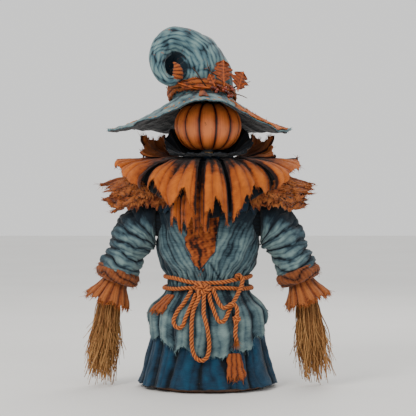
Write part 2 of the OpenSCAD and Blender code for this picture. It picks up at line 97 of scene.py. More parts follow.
def swell(points: np.ndarray, wave: float, seed: int, octaves: int = 3) -> np.ndarray:
    """Smooth bumps in space, made of sine waves in fixed random directions.

    Args:
        points: an array whose last axis is x, y, z.
        wave: the longest wave's length, in the unit of the points.
        seed: which bumps.
        octaves: how many times the wave is halved.

    Returns:
        One value for each point, mostly from -1 to 1.
    """
    rng = np.random.default_rng(seed)
    total = np.zeros(points.shape[:-1])
    weight = 0.0
    for octave in range(octaves):
        for _ in range(5):
            way = rng.normal(size=points.shape[-1])
            way /= np.linalg.norm(way)
            length = wave / 2**octave * rng.uniform(0.7, 1.35)
            total += 0.55**octave * np.sin(points @ way * (TAU / length) + rng.uniform(0, TAU))
            weight += 0.55**octave * 0.42
    return total / weight


def wander(values: np.ndarray, counts: Sequence[int], seed: int) -> np.ndarray:
    """A curve that closes over one turn, for ragged hems and uneven folds.

    Args:
        values: angles in radians.
        counts: how many times each wave goes round.
        seed: which curve.

    Returns:
        One value for each angle, mostly from -1 to 1.
    """
    rng = np.random.default_rng(seed)
    total = np.zeros_like(values)
    for count in counts:
        total += rng.uniform(0.5, 1) * np.sin(count * values + rng.uniform(0, TAU))
    return total / math.sqrt(len(counts))


def puff(phase: np.ndarray, sharp: float = 0.7) -> np.ndarray:
    """The section of gathered cloth: round tops from 0 to 1 between sharp valleys."""
    return np.abs(np.sin(phase / 2)) ** sharp


def smooth_step(low: float, high: float, values: np.ndarray) -> np.ndarray:
    """0 below low, 1 above high and an even change between them."""
    t = np.clip((values - low) / (high - low), 0, 1)
    return t * t * (3 - 2 * t)


def spline(points: Sequence[Sequence[float]], count: int) -> np.ndarray:
    """A smooth curve through points of any number of coordinates.

    Args:
        points: the points, in order.
        count: how many points to return, evenly spaced over the chords.

    Returns:
        The curve's points.
    """
    p = np.array(points, float)
    at = np.concatenate([[0], np.cumsum(np.linalg.norm(np.diff(p[:, :3], axis=0), axis=1))])
    slope = np.gradient(p, at, axis=0)
    t = np.linspace(0, at[-1], count)
    k = np.clip(np.searchsorted(at, t, side="right") - 1, 0, len(p) - 2)
    span = (at[k + 1] - at[k])[:, None]
    u = (t - at[k])[:, None] / span
    return (
        (2 * u**3 - 3 * u**2 + 1) * p[k]
        + (u**3 - 2 * u**2 + u) * span * slope[k]
        + (3 * u**2 - 2 * u**3) * p[k + 1]
        + (u**3 - u**2) * span * slope[k + 1]
    )


def path_axes(path: np.ndarray, closed: bool = False) -> tuple[np.ndarray, np.ndarray, np.ndarray]:
    """The directions along and across a path, carried along it without twist.

    Args:
        path: the points.
        closed: whether the last point is followed by the first.

    Returns:
        The unit tangents, and two unit directions across them.
    """
    ahead = np.roll(path, -1, 0) - np.roll(path, 1, 0)
    if not closed:
        ahead[0], ahead[-1] = path[1] - path[0], path[-1] - path[-2]
    ahead /= np.linalg.norm(ahead, axis=1, keepdims=True)
    across = np.zeros_like(path)
    start = np.array([0.0, 0, 1]) if abs(ahead[0][2]) < 0.9 else np.array([1.0, 0, 0])
    for i, t in enumerate(ahead):
        side = start if i == 0 else across[i - 1]
        side = side - t * (side @ t)
        across[i] = side / np.linalg.norm(side)
    if closed:
        first = across[0] - ahead[-1] * (across[0] @ ahead[-1])
        first /= np.linalg.norm(first)
        off = math.atan2(float(np.cross(across[-1], first) @ ahead[-1]), float(across[-1] @ first))
        turn = np.linspace(0, off, len(path))[:, None]
        across = across * np.cos(turn) + np.cross(ahead, across) * np.sin(turn)
    return ahead, across, np.cross(ahead, across)


def normals_of(points: Grid, wrap: bool) -> Grid:
    """Unit normals of a grid of points, from the differences along its rows and columns."""
    down = np.gradient(points, axis=0)
    if wrap:
        around = np.roll(points, -1, 1) - np.roll(points, 1, 1)
    else:
        around = np.gradient(points, axis=1)
    n = np.cross(around, down)
    return n / np.maximum(np.linalg.norm(n, axis=2, keepdims=True), 1e-9)


# ---------------------------------------------------------------------------
# meshes
# ---------------------------------------------------------------------------


def surface(
    name: str,
    points: Grid,
    wrap: bool = False,
    ring: bool = False,
    caps: tuple[bool, bool] = (False, False),
    fold: Grid | None = None,
    side: Grid | None = None,
) -> bpy.types.Object:
    """Makes a mesh from a grid of points.

    Args:
        name: the piece's name.
        points: rows by columns by x, y, z, in millimetres.
        wrap: the last column joins the first.
        ring: the last row joins the first.
        caps: whether the first and the last row are closed with a fan.
        fold: how light each point is painted, from 0 in painted shade to 1 in painted highlight; mostly how high it
            lies in the cloth's folds.
        side: 0 on the outer face and 1 on the under face, where a finish paints shade on the under face.

    Returns:
        The object, with a UV map in metres and its "fold" and "side" attributes.
    """
    rows, cols = points.shape[:2]
    i, j = np.meshgrid(
        np.arange(rows if ring else rows - 1), np.arange(cols if wrap else cols - 1), indexing="ij"
    )
    i, j = i.ravel(), j.ravel()
    corners = [(i, j), (i + 1, j), (i + 1, j + 1), (i, j + 1)]
    faces = np.stack([(a % rows) * cols + (b % cols) for a, b in corners], 1)
    mid = points[rows // 2]
    step_u = np.linalg.norm(np.roll(mid, -1, 0) - mid, axis=1)
    u = np.concatenate([[0], np.cumsum(step_u)])
    column = points[:, cols // 3]
    step_v = np.linalg.norm(np.roll(column, -1, 0) - column, axis=1)
    v = np.concatenate([[0], np.cumsum(step_v)])
    uv = np.stack([np.stack([u[b], v[a]], 1) for a, b in corners], 1).reshape(-1, 2) * MM
    verts = points.reshape(-1, 3)
    polygons = faces.tolist()
    extra: list[np.ndarray] = []
    for cap, row in zip(caps, (0, rows - 1)):
        if not cap:
            continue
        hub = len(verts) + len(extra)
        extra.append(points[row].mean(0))
        for k in range(cols):
            a, b = row * cols + k, row * cols + (k + 1) % cols
            polygons.append([hub, b, a] if row else [hub, a, b])
            uv = np.vstack([uv, [[0, v[row] * MM], [u[k] * MM, v[row] * MM], [u[k + 1] * MM, v[row] * MM]]])
    if extra:
        verts = np.vstack([verts, extra])
    mesh = bpy.data.meshes.new(name)
    mesh.from_pydata((verts * MM).tolist(), [], polygons)
    mesh.uv_layers.new(name="UVMap").data.foreach_set("uv", uv.astype(np.float32).ravel())
    for label, values in (("fold", fold), ("side", side)):
        filled = np.full(len(verts), 0.6 if label == "fold" else 0.0)
        if values is not None:
            filled[: rows * cols] = values.ravel()
            for cap, row in zip(caps, (0, rows - 1)):
                if cap:
                    filled[rows * cols :] = values[row].mean()
        mesh.attributes.new(label, "FLOAT", "POINT").data.foreach_set("value", filled.astype(np.float32))
    made = bpy.data.objects.new(name, mesh)
    bpy.context.scene.collection.objects.link(made)
    return made


def settle(piece: bpy.types.Object) -> bpy.types.Object:
    """Bakes a piece's modifiers into its mesh, turns its faces outwards and smooths it."""
    graph = bpy.context.evaluated_depsgraph_get()
    mesh = bpy.data.meshes.new_from_object(piece.evaluated_get(graph))
    piece.modifiers.clear()
    piece.data = mesh
    mesh.name = piece.name
    work = bmesh.new()
    work.from_mesh(mesh)
    bmesh.ops.recalc_face_normals(work, faces=work.faces)
    work.to_mesh(mesh)
    work.free()
    mesh.polygons.foreach_set("use_smooth", [True] * len(mesh.polygons))
    return piece


def thicken(piece: bpy.types.Object, thickness: float, offset: float = 0.0, smooth: int = 0) -> bpy.types.Object:
    """Gives a sheet its thickness.

    Args:
        piece: an open sheet.
        thickness: in millimetres.
        offset: -1 puts the wall behind the faces, 1 in front of them.
        smooth: levels of subdivision afterwards.

    Returns:
        The same piece, closed.
    """
    wall = piece.modifiers.new("wall", "SOLIDIFY")
    wall.thickness = thickness * MM
    wall.offset = offset
    if smooth:
        round_off = piece.modifiers.new("round", "SUBSURF")
        round_off.levels = round_off.render_levels = smooth
    return settle(piece)


def joined(name: str, pieces: Sequence[bpy.types.Object]) -> bpy.types.Object:
    """Joins meshes that share a finish into one piece.

    Args:
        name: the new piece's name.
        pieces: objects at the origin.

    Returns:
        The joined object.
    """
    work = bmesh.new()
    for piece in pieces:
        work.from_mesh(piece.data)
    mesh = bpy.data.meshes.new(name)
    work.to_mesh(mesh)
    work.free()
    mesh.polygons.foreach_set("use_smooth", [True] * len(mesh.polygons))
    made = bpy.data.objects.new(name, mesh)
    bpy.context.scene.collection.objects.link(made)
    for piece in pieces:
        bpy.data.objects.remove(piece)
    return made


def place(
    piece: bpy.types.Object,
    body: str | None,
    material: bpy.types.Material,
    replaces: Sequence[str] = (),
) -> bpy.types.Object:
    """Dresses a piece and ties it to the frame.

    Args:
        piece: the finished object.
        body: the body that it rides on, or None to leave it without a parent.
        material: its finish.
        replaces: the frame's nodes that it stands for.

    Returns:
        The same piece.
    """
    piece.data.materials.clear()
    piece.data.materials.append(material)
    if body:
        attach(piece, body)
    if replaces:
        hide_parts(*replaces)
    LOG.info("%s: %d faces on %s", piece.name, len(piece.data.polygons), body or "two bodies")
    return piece


def lay_out(
    piece: bpy.types.Object
) -> bpy.types.Object:
    """Hands a piece of cloth back as it is.

    Args:
        piece: the finished cloth.

    Returns:
        The same piece.
    """
    return piece


# ---------------------------------------------------------------------------
# repeated shapes, by geometry nodes
# ---------------------------------------------------------------------------


@dataclass
class Scatter:
    """Copies one small shape onto many spots with a node tree."""

    inputs: dict[str, str] = field(default_factory=dict)

    @cached_property
    def tree(self) -> bpy.types.NodeTree:
        """The node tree: spots with "aim", "across" and "size" in, a joined mesh out."""
        tree = bpy.data.node_groups.new("scatter_shapes", "GeometryNodeTree")
        sockets = tree.interface
        sockets.new_socket("Geometry", in_out="INPUT", socket_type="NodeSocketGeometry")
        sockets.new_socket("Geometry", in_out="OUTPUT", socket_type="NodeSocketGeometry")
        for label, kind in (
            ("Shape", "NodeSocketObject"), ("Finish", "NodeSocketMaterial"), ("Spread", "NodeSocketFloat"),
            ("Turn", "NodeSocketFloat"), ("Seed", "NodeSocketInt"),
        ):
            self.inputs[label] = sockets.new_socket(label, in_out="INPUT", socket_type=kind).identifier
        start, end = tree.nodes.new("NodeGroupInput"), tree.nodes.new("NodeGroupOutput")
        link = tree.links.new

        def named(label: str) -> bpy.types.NodeSocket:
            """The output of a named vector attribute."""
            found = tree.nodes.new("GeometryNodeInputNamedAttribute")
            found.data_type = "FLOAT_VECTOR"
            found.inputs["Name"].default_value = label
            return found.outputs["Attribute"]

        def chance(low: float, high: float, salt: int) -> bpy.types.Node:
            """A random number for each spot."""
            made = tree.nodes.new("FunctionNodeRandomValue")
            made.data_type = "FLOAT"
            made.inputs[2].default_value, made.inputs[3].default_value = low, high
            mixed = tree.nodes.new("ShaderNodeMath")
            mixed.inputs[1].default_value = salt
            link(start.outputs["Seed"], mixed.inputs[0])
            link(mixed.outputs[0], made.inputs["Seed"])
            return made

        shape = tree.nodes.new("GeometryNodeObjectInfo")
        link(start.outputs["Shape"], shape.inputs["Object"])
        axes = tree.nodes.new("FunctionNodeAxesToRotation")
        axes.primary_axis, axes.secondary_axis = "Z", "X"
        link(named("aim"), axes.inputs[0])
        link(named("across"), axes.inputs[1])
        twist = tree.nodes.new("ShaderNodeMath")
        twist.operation = "MULTIPLY"
        link(chance(-1, 1, 11).outputs[1], twist.inputs[0])
        link(start.outputs["Turn"], twist.inputs[1])
        about = tree.nodes.new("ShaderNodeCombineXYZ")
        link(twist.outputs[0], about.inputs["Z"])
        euler = tree.nodes.new("FunctionNodeEulerToRotation")
        link(about.outputs[0], euler.inputs[0])
        turned = tree.nodes.new("FunctionNodeRotateRotation")
        turned.rotation_space = "LOCAL"
        link(axes.outputs[0], turned.inputs[0])
        link(euler.outputs[0], turned.inputs[1])
        more = tree.nodes.new("ShaderNodeMath")
        more.operation = "MULTIPLY_ADD"
        more.inputs[2].default_value = 1.0
        link(chance(-1, 1, 23).outputs[1], more.inputs[0])
        link(start.outputs["Spread"], more.inputs[1])
        size = tree.nodes.new("ShaderNodeVectorMath")
        size.operation = "SCALE"
        link(named("size"), size.inputs[0])
        link(more.outputs[0], size.inputs["Scale"])
        copies = tree.nodes.new("GeometryNodeInstanceOnPoints")
        link(start.outputs["Geometry"], copies.inputs["Points"])
        link(shape.outputs["Geometry"], copies.inputs["Instance"])
        link(turned.outputs[0], copies.inputs["Rotation"])
        link(size.outputs[0], copies.inputs["Scale"])
        tone = tree.nodes.new("GeometryNodeStoreNamedAttribute")
        tone.data_type, tone.domain = "FLOAT", "INSTANCE"
        tone.inputs["Name"].default_value = "tone"
        link(copies.outputs[0], tone.inputs["Geometry"])
        link(chance(0, 1, 37).outputs[1], tone.inputs["Value"])
        real = tree.nodes.new("GeometryNodeRealizeInstances")
        link(tone.outputs[0], real.inputs["Geometry"])
        dressed = tree.nodes.new("GeometryNodeSetMaterial")
        link(real.outputs["Geometry"], dressed.inputs["Geometry"])
        link(start.outputs["Finish"], dressed.inputs["Material"])
        link(dressed.outputs["Geometry"], end.inputs["Geometry"])
        return tree

    def over(
        self,
        name: str,
        spots: np.ndarray,
        aims: np.ndarray,
        sizes: np.ndarray,
        shape: bpy.types.Object,
        material: bpy.types.Material,
        across: np.ndarray | None = None,
        spread: float = 0.2,
        turn: float = math.pi,
        seed: int = 1,
    ) -> bpy.types.Object:
        """Puts the shape on every spot.

        Args:
            name: the piece's name.
            spots: places in millimetres.
            aims: where each copy's +Z points.
            sizes: each copy's scale in x, y and z, in millimetres.
            shape: a shape about 1 unit long; it is removed afterwards.
            material: the copies' finish.
            across: where each copy's +X points, as near as it can.
            spread: how much the sizes differ.
            turn: how far copies turn about their own +Z, in radians.
            seed: which random draw.

        Returns:
            One mesh object.
        """
        mesh = bpy.data.meshes.new(name)
        mesh.from_pydata((np.asarray(spots) * MM).tolist(), [], [])
        side = np.tile([1.0, 0.03, 0.02], (len(spots), 1)) if across is None else across
        for label, values in (("aim", aims), ("across", side), ("size", np.asarray(sizes) * MM)):
            mesh.attributes.new(label, "FLOAT_VECTOR", "POINT").data.foreach_set(
                "vector", np.asarray(values, np.float32).ravel()
            )
        made = bpy.data.objects.new(name, mesh)
        bpy.context.scene.collection.objects.link(made)
        tree = self.tree
        rule = made.modifiers.new("scatter", "NODES")
        rule.node_group = tree
        for label, value in (
            ("Shape", shape), ("Finish", material), ("Spread", spread), ("Turn", turn), ("Seed", seed),
        ):
            rule[self.inputs[label]] = value
        bpy.context.view_layer.update()
        settle(made)
        bpy.data.objects.remove(shape)
        return made


SCATTER = Scatter()


def blade(
    bend: float, sides: int = 4, joints: int = 5, taper: float = 0.25, flat: float = 1.0, wave: float = 0.0
) -> bpy.types.Object:
    """A strand from 0 to 1 along +Z, about 1 across, that bends towards +X.

    Args:
        bend: how far the end leans, in widths.
        sides: sides of its section.
        joints: lengths it is made of.
        taper: the end's width against the root's.
        flat: the section's depth against its width.
        wave: how far it sways on the way, in widths.

    Returns:
        A closed mesh object.
    """
    t = np.linspace(0, 1, joints + 1)[:, None]
    a = np.arange(sides)[None, :] * TAU / sides
    r = 0.5 * (1 - (1 - taper) * t**1.5)
    points = np.stack([
        r * np.cos(a) + bend * t**2 + wave * np.sin(7.5 * t) * t, flat * r * np.sin(a) + 0.6 * wave * np.sin(5 * t) * t, t + 0 * a,
    ], 2) / MM
    fold = np.repeat(0.35 + 0.65 * t, sides, 1)
    return settle(surface("blade", points, wrap=True, caps=(True, True), fold=fold))


def bead(sides: int = 10) -> bpy.types.Object:
    """A slightly pointed ball, 1 across, about its middle."""
    t = np.linspace(0.06, math.pi - 0.06, sides // 2 + 2)[:, None]
    a = np.arange(sides)[None, :] * TAU / sides
    r = 0.5 * np.sin(t)
    points = np.stack([r * np.cos(a), r * np.sin(a), 0.53 * np.cos(t) + 0 * a], 2) / MM
    return settle(surface("bead", points, wrap=True, caps=(True, True), fold=0.6 + 0 * r + 0 * a))


def fringe(
    name: str,
    edge: np.ndarray,
    ways: np.ndarray,
    length: float,
    material: bpy.types.Material,
    seed: int,
    per_mm: float = 0.55,
    thick: float = 0.75,
) -> bpy.types.Object:
    """Loose threads along the edge of a cloth.

    Args:
        name: the piece's name.
        edge: the edge's points.
        ways: the direction of the threads at each point.
        length: the threads' usual length.
        material: their finish.
        seed: which random draw.
        per_mm: threads for each millimetre of edge.
        thick: a thread's thickness.

    Returns:
        One mesh object.
    """
    rng = np.random.default_rng(seed)
    run = np.concatenate([[0], np.cumsum(np.linalg.norm(np.diff(edge, axis=0), axis=1))])
    count = max(6, int(run[-1] * per_mm))
    at = np.sort(rng.uniform(0, run[-1], count))
    spots = np.stack([np.interp(at, run, edge[:, k]) for k in range(3)], 1)
    aims = np.stack([np.interp(at, run, ways[:, k]) for k in range(3)], 1)
    aims /= np.maximum(np.linalg.norm(aims, axis=1, keepdims=True), 1e-9)
    spots = spots - aims * 1.2
    aims = aims + rng.normal(scale=0.28, size=aims.shape)
    long = length * rng.uniform(0.35, 1.2, count) * (1 + 0.7 * (rng.uniform(size=count) > 0.93))
    sizes = np.stack([np.full(count, thick), np.full(count, thick), long], 1)
    return SCATTER.over(name, spots, aims, sizes, blade(2.2, 3, 3), material, seed=seed)


# ---------------------------------------------------------------------------
# finishes
# ---------------------------------------------------------------------------


class Graph:
    """A short way to write a material's nodes."""

    def __init__(self, name: str) -> None:
        """Starts an empty material with its shader and output."""
        self.material = bpy.data.materials.new(name)
        self.material.use_nodes = True
        self.tree = self.material.node_tree
        self.tree.nodes.clear()
        out = self.tree.nodes.new("ShaderNodeOutputMaterial")
        self.shader = self.tree.nodes.new("ShaderNodeBsdfPrincipled")
        self.tree.links.new(self.shader.outputs[0], out.inputs[0])

    def put(self, socket: bpy.types.NodeSocket, value: object) -> None:
        """Links a socket to another one, or sets its value."""
        if isinstance(value, bpy.types.NodeSocket):
            self.tree.links.new(value, socket)
        elif isinstance(value, tuple) and len(value) == 3 and socket.type == "RGBA":
            socket.default_value = (*value, 1)
        else:
            socket.default_value = value

    def node(self, kind: str, out: int | str = 0, **values: object) -> bpy.types.NodeSocket:
        """Adds a node, fills its inputs by name, and returns one of its outputs."""
        made = self.tree.nodes.new(kind)
        for label, value in values.items():
            self.put(made.inputs[label.replace("_", " ")], value)
        return made.outputs[out]

    def math(self, what: str, a: object, b: object = 0.0, c: object = 0.0) -> bpy.types.NodeSocket:
        """One sum of the Math node."""
        made = self.tree.nodes.new("ShaderNodeMath")
        made.operation = what
        for socket, value in zip(made.inputs, (a, b, c)):
            self.put(socket, value)
        return made.outputs[0]

    def mix(self, share: object, a: object, b: object, how: str = "MIX") -> bpy.types.NodeSocket:
        """Mixes two colours."""
        made = self.tree.nodes.new("ShaderNodeMix")
        made.data_type, made.blend_type = "RGBA", how
        for socket, value in zip((made.inputs[0], made.inputs[6], made.inputs[7]), (share, a, b)):
            self.put(socket, value)
        return made.outputs[2]

    def ramp(self, value: object, stops: Sequence[tuple[float, Colour]]) -> bpy.types.NodeSocket:
        """Turns a number into a colour by stops of (place, colour)."""
        made = self.tree.nodes.new("ShaderNodeValToRGB")
        points = made.color_ramp.elements
        while len(points) < len(stops):
            points.new(0.5)
        for point, (at, colour) in zip(points, stops):
            point.position = at
            point.color = (*colour, 1)
        self.put(made.inputs[0], value)
        return made.outputs[0]

    def attribute(self, name: str) -> bpy.types.NodeSocket:
        """A number kept on the mesh."""
        made = self.tree.nodes.new("ShaderNodeAttribute")
        made.attribute_name = name
        return made.outputs["Fac"]

    def coordinates(self, which: str, scale: tuple[float, float, float]) -> bpy.types.NodeSocket:
        """Object or UV coordinates, scaled."""
        source = self.tree.nodes.new("ShaderNodeTexCoord").outputs[which]
        return self.node("ShaderNodeMapping", Vector=source, Scale=scale)

    def noise(self, where: object, scale: float, detail: float = 4.0, rough: float = 0.55) -> bpy.types.NodeSocket:
        """Cloudy noise around 0.5."""
        return self.node("ShaderNodeTexNoise", Vector=where, Scale=scale, Detail=detail, Roughness=rough)

    def bump(self, height: object, depth_mm: float, strength: float = 1.0, under: object = None) -> bpy.types.NodeSocket:
        """A bumped normal; under is a normal that it goes on top of."""
        made = self.tree.nodes.new("ShaderNodeBump")
        made.inputs["Strength"].default_value = strength
        made.inputs["Distance"].default_value = depth_mm * MM
        self.put(made.inputs["Height"], height)
        if under is not None:
            self.put(made.inputs["Normal"], under)
        return made.outputs[0]

    def finish(self, **values: object) -> bpy.types.Material:
        """Fills the shader's inputs by name and returns the material."""
        for label, value in values.items():
            self.put(self.shader.inputs[label.replace("_", " ")], value)
        return self.material


@dataclass(frozen=True)
class Finish:
    """What every finish has."""

    name: str

    def build(self) -> bpy.types.Material:
        """Makes the material."""
        raise NotImplementedError

    def material(self) -> bpy.types.Material:
        """The material, made once."""
        return bpy.data.materials.get(self.name) or self.build()


@dataclass(frozen=True)
class Woven(Finish):
    """Cloth with a visible weave, with painted shade in its folds and painted highlights on its ridges."""

    dark: str = "10222E"
    mid: str = "3F5E6B"
    light: str = "7C9896"
    stain: str = "6A4A30"
    stain_share: float = 0.25
    thread: float = 1.1
    weave: float = 0.35
    mottle: float = 0.35
    sheen: float = 0.12
    under: str | None = None

    def build(self) -> bpy.types.Material:
        """Makes the material from the folds' painted shade and highlights, blotches, slubs and the weave."""
        g = Graph(self.name)
        place_ = g.coordinates("Object", (1, 1, 1))
        blotch = g.noise(place_, 34, 5, 0.6)
        fine = g.noise(place_, 210, 3, 0.6)
        slub = g.noise(g.coordinates("UV", (60, 520, 1)), 1, 3, 0.5)
        # painted shade and highlight: the "fold" attribute darkens the folds and lightens the ridges through the ramp
        # below
        level = g.math("MULTIPLY_ADD", g.math("SUBTRACT", blotch, 0.5), self.mottle, g.attribute("fold"))
        level = g.math("MULTIPLY_ADD", g.math("SUBTRACT", slub, 0.5), 0.42, level)
        level = g.math("MULTIPLY_ADD", g.math("SUBTRACT", fine, 0.5), 0.3, level)
        colour = g.ramp(level, [
            (0.02, shade(self.dark)), (0.22, shade(self.dark)), (0.52, shade(self.mid)), (1.0, shade(self.light)),
        ])
        patches = g.node("ShaderNodeMapRange", Value=g.noise(place_, 16, 4, 0.65), From_Min=0.56, From_Max=0.7)
        colour = g.mix(g.math("MULTIPLY", patches, self.stain_share), colour, shade(self.stain))
        # painted shade on the under face, where a piece carries the "side" attribute
        if self.under:
            colour = g.mix(g.attribute("side"), colour, shade(self.under))
        uv = g.tree.nodes.new("ShaderNodeSeparateXYZ")
        count = 1 / (self.thread * MM)
        g.put(uv.inputs[0], g.coordinates("UV", (count, count, 1)))
        warp = g.math("COSINE", g.math("MULTIPLY", uv.outputs[0], math.pi))
        weft = g.math("COSINE", g.math("MULTIPLY", uv.outputs[1], math.pi))
        weave = g.math("MULTIPLY_ADD", g.math("MULTIPLY", warp, weft), 0.5, 0.5)
        # painted shade: the weave's valleys are darkened towards the dark colour
        colour = g.mix(g.math("MULTIPLY", g.math("SUBTRACT", 1, weave), 0.3), colour, shade(self.dark))
        normal = g.bump(fine, 1.2, 0.5)
        normal = g.bump(weave, self.weave, 0.8, normal)
        return g.finish(
            Base_Color=colour, Roughness=0.88, Normal=normal, Sheen_Weight=self.sheen, Sheen_Roughness=0.5,
            Specular_IOR_Level=0.2,
        )


@dataclass(frozen=True)
class Felt(Finish):
    """Matted wool with scuffs, a lighter edge and painted shade on its under side."""

    dark: str = "13212A"
    mid: str = "44606A"
    light: str = "7F9A98"
    under: str = "050B13"
    scuff: str = "A0562B"

    def build(self) -> bpy.types.Material:
        """Makes the material from the folds, long streaks and rust-coloured scuffs."""
        g = Graph(self.name)
        place_ = g.coordinates("Object", (1, 1, 1))
        blotch = g.noise(place_, 26, 5, 0.62)
        fibre = g.noise(place_, 420, 4, 0.65)
        streak = g.noise(g.coordinates("UV", (300, 28, 1)), 1, 4, 0.6)
        level = g.math("MULTIPLY_ADD", g.math("SUBTRACT", blotch, 0.5), 0.35, g.attribute("fold"))
        level = g.math("MULTIPLY_ADD", g.math("SUBTRACT", streak, 0.5), 0.6, level)
        colour = g.ramp(level, [
            (0.02, shade(self.dark)), (0.3, shade(self.dark)), (0.55, shade(self.mid)), (0.98, shade(self.light)),
        ])
        colour = g.mix(g.math("MULTIPLY", fibre, 0.25), colour, shade(self.dark))
        marks = g.node("ShaderNodeMapRange", Value=g.noise(g.coordinates("UV", (30, 95, 1)), 1, 3, 0.7),
                       From_Min=0.62, From_Max=0.68)
        colour = g.mix(g.math("MULTIPLY", marks, 0.7), colour, shade(self.scuff))
        # painted shade: the under face takes the near-black under colour
        colour = g.mix(g.attribute("side"), colour, shade(self.under))
        normal = g.bump(fibre, 0.5, 0.6, g.bump(streak, 1.2, 0.5))
        return g.finish(
            Base_Color=colour, Roughness=0.92, Normal=normal, Sheen_Weight=0.2, Sheen_Roughness=0.45,
            Specular_IOR_Level=0.15,
        )


@dataclass(frozen=True)
class Rope(Finish):
    """Twisted jute: painted shade between the strands, fibres along them."""

    dark: str = "200D06"
    mid: str = "7E3D1C"
    light: str = "BE6B34"

    def build(self) -> bpy.types.Material:
        """Makes the material from the strands and their fibres."""
        g = Graph(self.name)
        fibre = g.noise(g.coordinates("UV", (900, 130, 1)), 1, 4, 0.6)
        blotch = g.noise(g.coordinates("Object", (1, 1, 1)), 60, 3, 0.5)
        level = g.math("MULTIPLY_ADD", g.math("SUBTRACT", fibre, 0.5), 0.5, g.attribute("fold"))
        level = g.math("MULTIPLY_ADD", g.math("SUBTRACT", blotch, 0.5), 0.35, level)
        # painted shade: the low "fold" between the strands takes the dark colour
        colour = g.ramp(level, [(0.05, shade(self.dark)), (0.5, shade(self.mid)), (0.95, shade(self.light))])
        return g.finish(
            Base_Color=colour, Roughness=0.85, Normal=g.bump(fibre, 0.5, 0.9), Sheen_Weight=0.1,
            Specular_IOR_Level=0.2,
        )


@dataclass(frozen=True)
class Rind(Finish):
    """A pumpkin's skin: streaks from top to bottom, painted shade in the grooves, a soft gloss."""

    groove: str = "230C06"
    mid: str = "B85A2A"
    light: str = "E07A3A"

    def build(self) -> bpy.types.Material:
        """Makes the material from the ribs' height and streaks along them."""
        g = Graph(self.name)
        streak = g.noise(g.coordinates("UV", (330, 14, 1)), 1, 5, 0.6)
        place_ = g.coordinates("Object", (1, 1, 1))
        blotch = g.noise(place_, 40, 4, 0.6)
        level = g.math("MULTIPLY_ADD", g.math("SUBTRACT", streak, 0.5), 0.9, g.attribute("fold"))
        level = g.math("MULTIPLY_ADD", g.math("SUBTRACT", blotch, 0.5), 0.35, level)
        # painted shade: the groove colour and the stop after it darken the grooves, where "fold" is low
        colour = g.ramp(level, [
            (0.10, shade(self.groove)), (0.32, shade("853612")), (0.55, shade(self.mid)), (0.98, shade(self.light)),
        ])
        warts = g.node("ShaderNodeMapRange", Value=g.noise(place_, 190, 2, 0.5), From_Min=0.66, From_Max=0.74)
        colour = g.mix(g.math("MULTIPLY", warts, 0.5), colour, shade(self.groove))
        rough = g.node("ShaderNodeMapRange", Value=blotch, To_Min=0.42, To_Max=0.62)
        normal = g.bump(warts, 0.25, 0.6, g.bump(streak, 0.8, 0.55))
        return g.finish(Base_Color=colour, Roughness=rough, Normal=normal, Coat_Weight=0.12, Coat_Roughness=0.4)


@dataclass(frozen=True)
class Strand(Finish):
    """Dry stalks, threads, leaves or twigs, each of its own tone."""

    dark: str = "4A3020"
    mid: str = "A87850"
    light: str = "D9AE78"
    rough: float = 0.8
    gloss: float = 0.2

    def build(self) -> bpy.types.Material:
        """Makes the material from each strand's tone and marks along it."""
        g = Graph(self.name)
        mark = g.noise(g.coordinates("Object", (1, 1, 1)), 260, 3, 0.6)
        level = g.math("MULTIPLY_ADD", g.attribute("tone"), 0.55, g.math("MULTIPLY", g.attribute("fold"), 0.5))
        level = g.math("MULTIPLY_ADD", g.math("SUBTRACT", mark, 0.5), 0.5, level)
        colour = g.ramp(level, [(0.1, shade(self.dark)), (0.5, shade(self.mid)), (0.95, shade(self.light))])
        return g.finish(
            Base_Color=colour, Roughness=self.rough, Normal=g.bump(mark, 0.3, 0.6), Specular_IOR_Level=self.gloss,
        )


@dataclass(frozen=True)
class Timber(Finish):
    """Wood with long grain."""

    dark: str = "2A170C"
    mid: str = "5B3820"
    light: str = "7A5030"
    along: tuple[float, float, float] = (1, 14, 14)

    def build(self) -> bpy.types.Material:
        """Makes the material from stretched noise and fine pores."""
        g = Graph(self.name)
        grain = g.noise(g.coordinates("Object", self.along), 9, 6, 0.65)
        pore = g.noise(g.coordinates("Object", tuple(12 * k for k in self.along)), 9, 3, 0.6)
        colour = g.ramp(grain, [(0.3, shade(self.dark)), (0.52, shade(self.mid)), (0.75, shade(self.light))])
        rough = g.node("ShaderNodeMapRange", Value=pore, To_Min=0.42, To_Max=0.68)
        return g.finish(Base_Color=colour, Roughness=rough, Normal=g.bump(pore, 0.2, 0.5, g.bump(grain, 0.4, 0.4)))


@dataclass(frozen=True)
class Plated(Finish):
    """Zinc-plated steel with faint scratches and dulled patches."""

    colour: str = "B9BABC"
    metallic: float = 1.0

    def build(self) -> bpy.types.Material:
        """Makes the material from scratches and patches."""
        g = Graph(self.name)
        scratch = g.noise(g.coordinates("Object", (1, 1, 20)), 320, 3, 0.6)
        patch = g.noise(g.coordinates("Object", (1, 1, 1)), 70, 4, 0.6)
        colour = g.mix(g.math("MULTIPLY", patch, 0.5), shade(self.colour), shade("77787A"))
        rough = g.node("ShaderNodeMapRange", Value=patch, To_Min=0.28, To_Max=0.5)
        return g.finish(Base_Color=colour, Metallic=self.metallic, Roughness=rough, Normal=g.bump(scratch, 0.1, 0.4))


SLATE = Woven("washed_slate_linen", dark="0D1C26", mid="435A62", light="7F9593", stain="2A3F4A", stain_share=0.3)
SLEEVE = Woven("sleeve_linen", dark="0B1822", mid="3D545E", light="7A9190", stain="1F3240", stain_share=0.3)
NAVY = Woven("deep_navy_cotton", dark="040C14", mid="0B2A3F", light="184661", stain="0A1C2A", thread=0.9)
